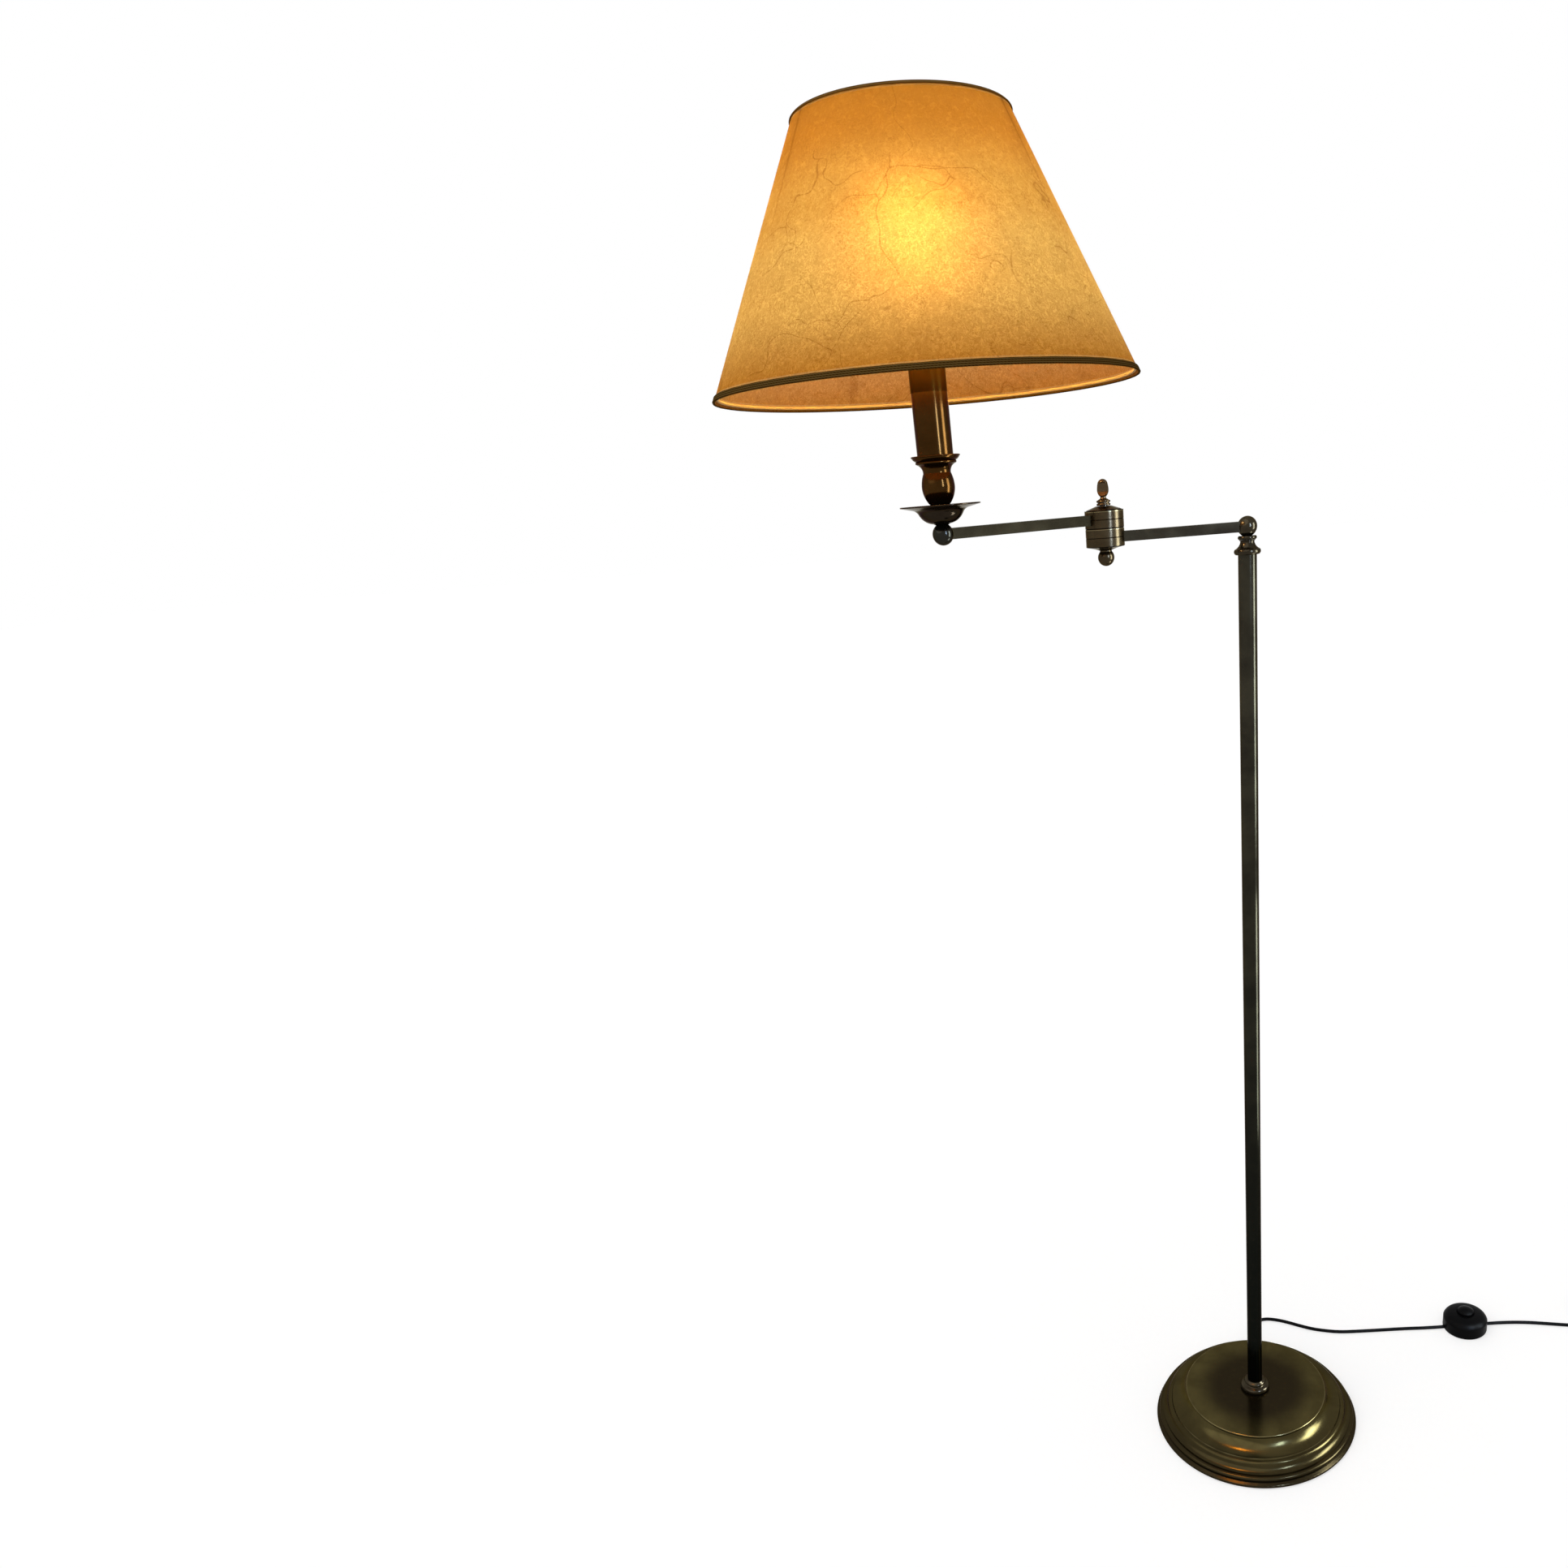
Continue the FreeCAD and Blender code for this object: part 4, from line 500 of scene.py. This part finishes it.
def tape_profile(edge, reach_up, cords):
    """The tape's section as (radius, level): cords outside, a fold round the rim, a tuck inside."""
    toward = 1 if reach_up > 0 else -1
    lean = (PAPER_FOOT_RADIUS - PAPER_TOP_RADIUS) / PAPER_HEIGHT

    def at(level, proud):
        return PAPER_FOOT_RADIUS - lean * (level - PAPER_LOW.z) + proud, level

    count = cords * TAPE_POINTS_PER_CORD
    outer = []
    for i in range(count):
        share = 1 - (i + 0.5) / count
        swell = abs(math.sin(math.pi * cords * share)) ** 0.6
        outer.append(at(edge + reach_up * share, PAPER_HALF + TAPE_SKIN + TAPE_CORD * swell))
    return [
        at(edge + reach_up, PAPER_HALF + TAPE_CLEARANCE),
        at(edge + reach_up, PAPER_HALF + TAPE_SKIN),
        *outer,
        at(edge, PAPER_HALF + TAPE_SKIN),
        at(edge - TAPE_FOLD_SHOULDER * toward, PAPER_HALF + 0.5 * TAPE_SKIN),
        at(edge - TAPE_FOLD * toward, 0.0),
        at(edge - TAPE_FOLD_SHOULDER * toward, -PAPER_HALF - 0.4 * TAPE_SKIN),
        at(edge, -PAPER_HALF - TAPE_TUCK_SKIN),
        at(edge + TAPE_TUCK * toward, -PAPER_HALF - TAPE_TUCK),
        at(edge - TAPE_CLEARANCE * toward, -PAPER_HALF - TAPE_CLEARANCE),
        at(edge - TAPE_CLEARANCE * toward, PAPER_HALF + TAPE_CLEARANCE),
    ]


def rim_tape(name, node, edge, reach_up, cords):
    """Tape with raised cords, laid on the paper from its rim, turned over the rim and tucked inside.

    Reach_up is the tape's height on the paper, downward where it is negative."""
    profile = tape_profile(edge, reach_up, cords)
    shape = bmesh.new()
    rings = []
    for i in range(SHADE_STEPS):
        turn = 2 * math.pi * i / SHADE_STEPS
        uneven = sum(depth * math.sin(count * turn + start) for count, start, depth in TAPE_WAVES)
        rings.append([shape.verts.new(shade_point(turn, radius, level + (uneven if k < 2 else 0.0)))
                      for k, (radius, level) in enumerate(profile)])
    join_rings(shape, rings, rings[1:] + rings[:1])
    bmesh.ops.recalc_face_normals(shape, faces=shape.faces)
    tape = object_from(name, shape)
    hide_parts(node)
    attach(tape, "shade_arm")
    return tape


def tape_cloth(name, edge, reach_up, cords, lit):
    """Woven tape: fine slanting stitches over its cords, with a painted highlight on their crests."""
    s = Surface(name)
    reach, height, angle = s.spin(SHADE_AXIS)
    slant = s.add(s.times(angle, TAPE_STITCHES), s.times(height, TAPE_STITCH_LEAN))
    stitch = s.times(s.add(s.maths("SINE", slant), 1.0), 0.5)
    fuzz = s.noise(s.place, scale=900.0, detail=2.0)
    rows = s.times(s.maths("SUBTRACT", height, edge), 2 * math.pi * cords / reach_up)
    # Painted highlight along the crest of each cord
    crest_highlight = s.near(s.maths("COSINE", rows), -1.0, -0.2)
    colour = s.mix(stitch, (0.020, 0.009, 0.001), (0.050, 0.030, 0.006))
    colour = s.mix(s.times(crest_highlight, 0.75), colour, (0.14, 0.098, 0.036))
    colour = s.mix(s.times(s.ramp(fuzz, 0.45, 0.75), 0.25), colour, (0.10, 0.06, 0.015))
    s.set(Base_Color=colour, Roughness=0.8, Specular_IOR_Level=0.0)
    # Painted glow: an emission that stands in for the bulb's light through the tape
    s.set(Emission_Color=TAPE_GLOW, Emission_Strength=lit)
    s.bump(stitch, 0.00008)
    return s.material


def make_tapes():
    """The lower tape has three cords and the upper one a single one, with a stronger painted glow."""
    for name, node, edge, reach_up, cords, lit in (
            ("tape_bottom", "shade_trim_bottom", PAPER_LOW.z, BOTTOM_TAPE, 3, 0.015),
            ("tape_top", "shade_trim_top", PAPER_HIGH.z, -TOP_TAPE, 1, 0.06)):
        tape = rim_tape(name, node, edge, reach_up, cords)
        tape.data.materials.append(tape_cloth(name + "_cloth", edge, reach_up, cords, lit))


# Cords

CORD_RADIUS = 0.0025
LAMP_SIDE_ROUTE = [
    (0.0015, 0.160, 0.0065), (0.0015, 0.172, 0.0065), (0.0035, 0.187, 0.0025), (0.011, 0.198, 0.0025),
    (0.023, 0.2035, 0.0025), (0.039, 0.202, 0.0025), (0.056, 0.197, 0.0025), (0.076, 0.1886, 0.0025),
    (0.0954, 0.1816, 0.0025), (0.1149, 0.1782, 0.0025), (0.1343, 0.1764, 0.0025),
    (0.1539, 0.1778, 0.0025), (0.193, 0.1824, 0.0025), (0.240, 0.1884, 0.0025),
    (0.268, 0.1906, 0.0025), (0.29406, 0.19438, 0.0025),
]
PLUG_SIDE_ROUTE = [
    (0.35994, 0.20422, 0.0025), (0.3846, 0.2079, 0.0025), (0.422, 0.2096, 0.0025),
    (0.472, 0.2056, 0.0025), (0.514, 0.203, 0.0025), (0.537, 0.203, 0.0025),
]
PLUG_LEAD_ROUTE = [(0.560, 0.20615, 0.0097), (0.575, 0.2049, 0.00685), (0.593, 0.2019, 0.00685)]
COIL_CENTRE = (0.542, 0.2445)
COIL_OUTER_RADIUS = 0.0415
COIL_PITCH = 0.0063
COIL_HALF_TURNS_IN = 7
COIL_HALF_TURNS_OUT = 6
COIL_LOW_LEVEL = 0.0025
COIL_LAYER_RISE = 0.0072
COIL_POINTS_PER_HALF_TURN = 8


def coil_route():
    """Points round each half turn, a little outside the turn because the line runs inside its points."""
    spare = 1 / math.cos(math.pi / (2 * COIL_POINTS_PER_HALF_TURN)) ** 0.75
    steps = [(-COIL_PITCH / 2, 0)] * COIL_HALF_TURNS_IN
    steps += [(0, COIL_LAYER_RISE)]
    steps += [(COIL_PITCH / 2, 0)] * COIL_HALF_TURNS_OUT
    radius = COIL_OUTER_RADIUS
    level = COIL_LOW_LEVEL
    side = -1
    points = []
    for grow, climb in steps:
        middle = -side * grow / 2
        mean = radius + grow / 2
        for i in range(COIL_POINTS_PER_HALF_TURN):
            share = (i + 0.5) / COIL_POINTS_PER_HALF_TURN
            turn = math.pi * share
            across = -side * math.sin(turn) * mean * spare
            along = side * math.cos(turn) * mean * spare + middle
            points.append((COIL_CENTRE[0] + across, COIL_CENTRE[1] + along, level + climb * share))
        radius += grow
        level += climb
        side = -side
    return points


def cord_curve(name, route):
    data = bpy.data.curves.new(name, "CURVE")
    data.dimensions = "3D"
    data.bevel_depth = CORD_RADIUS
    data.bevel_resolution = 5
    data.resolution_u = 10
    data.use_fill_caps = True
    spline = data.splines.new("NURBS")
    spline.points.add(len(route) - 1)
    for point, place in zip(spline.points, route):
        point.co = (*place, 1.0)
    spline.order_u = 3
    spline.use_endpoint_u = True
    cord = bpy.data.objects.new(name, data)
    SCENE.collection.objects.link(cord)
    return cord


def make_cords():
    rubber = moulded("black_cord", (0.004, 0.004, 0.0044), 0.35, grain_scale=900.0)
    lamp_side = cord_curve("cord_from_lamp", LAMP_SIDE_ROUTE)
    plug_side = cord_curve("cord_to_plug", PLUG_SIDE_ROUTE + coil_route() + PLUG_LEAD_ROUTE)
    for cord, nodes in ((lamp_side, ["cord_lamp_side"]),
                        (plug_side, ["cord_plug_side", "cord_coil", "cord_plug_lead"])):
        cord.data.materials.append(rubber)
        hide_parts(*nodes)
        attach(cord, "stand")


# Paint

BULB_LIGHT = 92.0
BULB_SEEN = 0.75


def paint(material, *names):
    for name in names:
        mesh = NODES[name].data
        mesh.materials.clear()
        mesh.materials.append(material)


def middle_of(name):
    low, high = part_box(name)
    return ((low.x + high.x) / 2, (low.y + high.y) / 2)


def heading_from(start, end):
    return math.atan2(end[1] - start[1], end[0] - start[0])


def paint_stand():
    stem = middle_of("stem_tube")
    # Painted shade: the base is darker at the centre of its top and towards its lower edge
    paint(antique_brass("brass_base", stem, dark=(0.040, 0.031, 0.011), pale=(0.076, 0.061, 0.022),
                        roughness=0.2, zone=(0.050, 0.092), fade=(-0.003, 0.056), painted_light=(0.019, 0.014, 0.007),
                        edges=[(0.0966, 0.0488, 0.0010), (0.1171, 0.0301, 0.0009)], rub=0.3), "base_cover")
    # Painted shade: the stem's colour darkens towards the floor
    paint(antique_brass("brass_stem", stem, dark=(0.017, 0.015, 0.011), pale=(0.040, 0.036, 0.024),
                        roughness=0.17, fade=(0.1, 1.15), painted_light=(0.004, 0.005, 0.004)), "stem_tube")
    paint(antique_brass("brass_collars", stem, dark=(0.022, 0.017, 0.011), pale=(0.054, 0.045, 0.028),
                        roughness=0.18, edges=[(0.0195, 0.0523, 0.001), (0.0145, 0.0604, 0.001)]),
          "base_collar", "stem_top_collar", "swivel_ring", "stem_ball")


def paint_arms():
    stem = middle_of("stem_tube")
    elbow = middle_of("elbow_bolt")
    paint(antique_brass("brass_bar_one", stem, dark=(0.018, 0.014, 0.010), pale=(0.046, 0.041, 0.027),
                        roughness=0.3, along=heading_from(stem, elbow)), "arm_one_bar")
    paint(antique_brass("brass_bar_two", stem, dark=(0.030, 0.026, 0.016), pale=(0.066, 0.058, 0.036),
                        roughness=0.16, along=heading_from(elbow, SHADE_AXIS)), "arm_two_bar")
    upper_low, upper_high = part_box("upper_drum")
    lower_low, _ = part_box("lower_drum")
    paint(antique_brass("brass_elbow", elbow, dark=(0.030, 0.020, 0.010), pale=(0.066, 0.050, 0.028),
                        roughness=0.215, grooves=[upper_low.z, upper_high.z, lower_low.z]),
          "lower_drum", "upper_drum", "lower_lid", "upper_lid", "ball_nut")
    paint(antique_brass("brass_screw", elbow, dark=(0.042, 0.027, 0.014), pale=(0.115, 0.082, 0.046),
                        roughness=0.2), "thumb_screw")


def paint_holder():
    """The candle tube is painted brighter above the shade's rim: a painted reflection of the lit paper."""
    paint(antique_brass("brass_candle", SHADE_AXIS, dark=(0.027, 0.011, 0.002), pale=(0.058, 0.026, 0.006),
                        roughness=0.16, fade=(PAPER_LOW.z + 0.030, PAPER_LOW.z - 0.012),
                        painted_light=(0.27, 0.150, 0.014)), "candle_cup", "candle_tube")
    paint(antique_brass("brass_pan", SHADE_AXIS, dark=(0.013, 0.009, 0.006), pale=(0.032, 0.023, 0.014),
                        roughness=0.15), "drip_pan")
    paint(antique_brass("brass_holder_ball", SHADE_AXIS, dark=(0.010, 0.009, 0.007),
                        pale=(0.030, 0.029, 0.023), roughness=0.16), "holder_ball")


def paint_plain_pieces():
    paint(moulded("black_plastic", (0.0022, 0.0022, 0.0024), 0.3), "base_relief", "switch_base",
          "switch_cover", "switch_button", "switch_block", "switch_gland_in", "switch_gland_out",
          "plug_relief", "plug_body", "lampholder_cap", "lampholder_skirt", "shade_clamp_ring")
    paint(moulded("pad_rubber", rgb(24, 23, 22), 0.75), "base_pad")
    paint(moulded("ring_lacquer", (0.54, 0.32, 0.09), 0.5, dust=(0.40, 0.23, 0.07)),
          "shade_bottom_ring", "shade_top_ring")
    paint(moulded("contact_ceramic", rgb(225, 220, 210), 0.4), "lampholder_contact")
    paint(moulded("washer_fibre", rgb(70, 52, 38), 0.7), "friction_washer")
    paint(plain_metal("cast_iron", rgb(72, 70, 68), 0.55), "base_weight")
    paint(plain_metal("zinc_steel", rgb(170, 168, 160), 0.3), "base_washer", "base_nut", "base_nipple",
          "swivel_stud", "elbow_bolt", "holder_nipple", "carrier_ring", "carrier_arm_1", "carrier_arm_2",
          "carrier_arm_3", "stem_foot_plug")
    paint(plain_metal("nickel", rgb(205, 202, 194), 0.18), "plug_pin_1", "plug_pin_2", "bulb_cap")


def paint_bulb():
    """Lit opal glass. The camera sees it dimmer than it shines, so that its form doesn't burn out."""
    s = Surface("opal_glass")
    frost = s.noise(s.place, scale=60.0)
    s.set(Base_Color=s.mix(frost, (0.42, 0.33, 0.20), (0.50, 0.40, 0.25)), Roughness=0.25)
    path = s.tree.nodes.new("ShaderNodeLightPath")
    strength = s.ramp(path.outputs["Is Camera Ray"], 0.0, 1.0, start=BULB_LIGHT, end=BULB_SEEN)
    s.set(Emission_Color=(1.0, 0.72, 0.36, 1.0), Emission_Strength=strength)
    s.bump(frost, 0.00005)
    paint(s.material, "bulb_glass")


# Studio

FLOOR_SIDE = 60.0
FLOOR_GAP = 0.0003
FLOOR_GLOW = 0.575
STUDIO_LEVEL = 0.55
WHITE_LEVEL = 1.0
KEY_STRENGTH = 1.35
KEY_SPREAD = math.radians(70)
KEY_DIRECTION = Vector((0.5, 0.62, -0.9))
GLOW_WIDTH = 0.37
# Radiance of a square as wide as the disk that sends out the same light
GLOW_RADIANCE = 1.1


def background_share(tree):
    """One for the rays that see the background: camera, glossy and transmission rays."""
    path = tree.nodes.new("ShaderNodeLightPath")
    share = path.outputs["Is Camera Ray"]
    for name in ("Is Glossy Ray", "Is Transmission Ray"):
        node = tree.nodes.new("ShaderNodeMath")
        node.operation = "MAXIMUM"
        tree.links.new(share, node.inputs[0])
        tree.links.new(path.outputs[name], node.inputs[1])
        share = node.outputs[0]
    return share


def make_floor():
    """Pale floor that keeps the lamp's shadow and is white where nothing shades it."""
    shape = bmesh.new()
    bmesh.ops.create_grid(shape, x_segments=1, y_segments=1, size=FLOOR_SIDE / 2)
    floor = object_from("floor", shape)
    floor.location.z = -FLOOR_GAP
    material = bpy.data.materials.new("floor")
    material.use_nodes = True
    tree = material.node_tree
    shader = tree.nodes["Principled BSDF"]
    shader.inputs["Base Color"].default_value = (0.5, 0.5, 0.5, 1)
    shader.inputs["Roughness"].default_value = 0.9
    shader.inputs["Specular IOR Level"].default_value = 0.0
    shader.inputs["Emission Color"].default_value = (1, 1, 1, 1)
    lift = tree.nodes.new("ShaderNodeMath")
    lift.operation = "MULTIPLY"
    tree.links.new(background_share(tree), lift.inputs[0])
    lift.inputs[1].default_value = FLOOR_GLOW
    tree.links.new(lift.outputs[0], shader.inputs["Emission Strength"])
    floor.data.materials.append(material)


def make_world():
    world = bpy.data.worlds.new("studio")
    SCENE.world = world
    world.use_nodes = True
    tree = world.node_tree
    glow = tree.nodes["Background"]
    glow.inputs["Color"].default_value = (1, 1, 1, 1)
    level = tree.nodes.new("ShaderNodeMapRange")
    tree.links.new(background_share(tree), level.inputs["Value"])
    level.inputs["To Min"].default_value = STUDIO_LEVEL
    level.inputs["To Max"].default_value = WHITE_LEVEL
    tree.links.new(level.outputs[0], glow.inputs["Strength"])


def gloss_only(data, place, target):
    """Place a light that only shows in glossy surfaces: a bright line on a tube, a spot on a ball."""
    light = bpy.data.objects.new(data.name, data)
    light.location = place
    light.rotation_mode = "QUATERNION"
    light.rotation_quaternion = (Vector(target) - Vector(place)).to_track_quat("-Z", "Y")
    light.visible_camera = False
    light.visible_diffuse = False
    light.visible_transmission = False
    SCENE.collection.objects.link(light)


def gloss_panel(name, place, target, width, height, radiance, colour):
    data = bpy.data.lights.new(name, "AREA")
    data.shape = "RECTANGLE"
    data.size = width
    data.size_y = height
    data.color = colour
    data.energy = radiance * math.pi * width * height
    gloss_only(data, place, target)


def make_glow_of_shade():
    """The shade's lit opening as the metal below mirrors it."""
    data = bpy.data.lights.new("glow_of_shade", "AREA")
    data.shape = "DISK"
    data.size = GLOW_WIDTH
    data.color = (1.0, 0.5, 0.2)
    data.energy = GLOW_RADIANCE * math.pi * GLOW_WIDTH * GLOW_WIDTH
    gloss_only(data, (*SHADE_AXIS, PAPER_LOW.z - 0.002), (*SHADE_AXIS, 0.0))


def make_glow_on_base():
    """A warm streak on the front of the base."""
    data = bpy.data.lights.new("glow_on_base", "SPOT")
    data.energy = 23
    data.color = (1.0, 0.38, 0.04)
    data.shadow_soft_size = 0.11
    data.spot_size = math.radians(20)
    data.spot_blend = 0.5
    gloss_only(data, (-0.23, -0.14, 1.25), (-0.01, -0.06, 0.03))


def make_lights():
    data = bpy.data.lights.new("soft_key", "SUN")
    data.energy = KEY_STRENGTH
    data.angle = KEY_SPREAD
    key = bpy.data.objects.new("soft_key", data)
    key.rotation_mode = "QUATERNION"
    key.rotation_quaternion = KEY_DIRECTION.to_track_quat("-Z", "Y")
    SCENE.collection.objects.link(key)
    gloss_panel("strip_near", (1.07, -1.45, 1.62), (-0.2, 0, 1.25), width=0.18, height=0.95,
                radiance=90, colour=(0.42, 0.60, 1.0))
    gloss_panel("window", (1.88, -0.22, 1.22), (-0.15, 0, 1.22), width=0.60, height=1.76,
                radiance=27, colour=(0.80, 0.92, 1.0))
    gloss_panel("window_low", (0.49, -0.05, 0.40), (0, 0, 0.40), width=0.18, height=0.42,
                radiance=27, colour=(0.85, 0.95, 1.0))
    make_glow_of_shade()
    make_glow_on_base()


SCENE.view_settings.view_transform = "Standard"
make_camera()
make_cords()
paint_stand()
paint_arms()
paint_holder()
paint_plain_pieces()
paint_bulb()
paper_cone().data.materials.append(lit_paper("parchment_lit"))
make_tapes()
make_floor()
make_world()
make_lights()
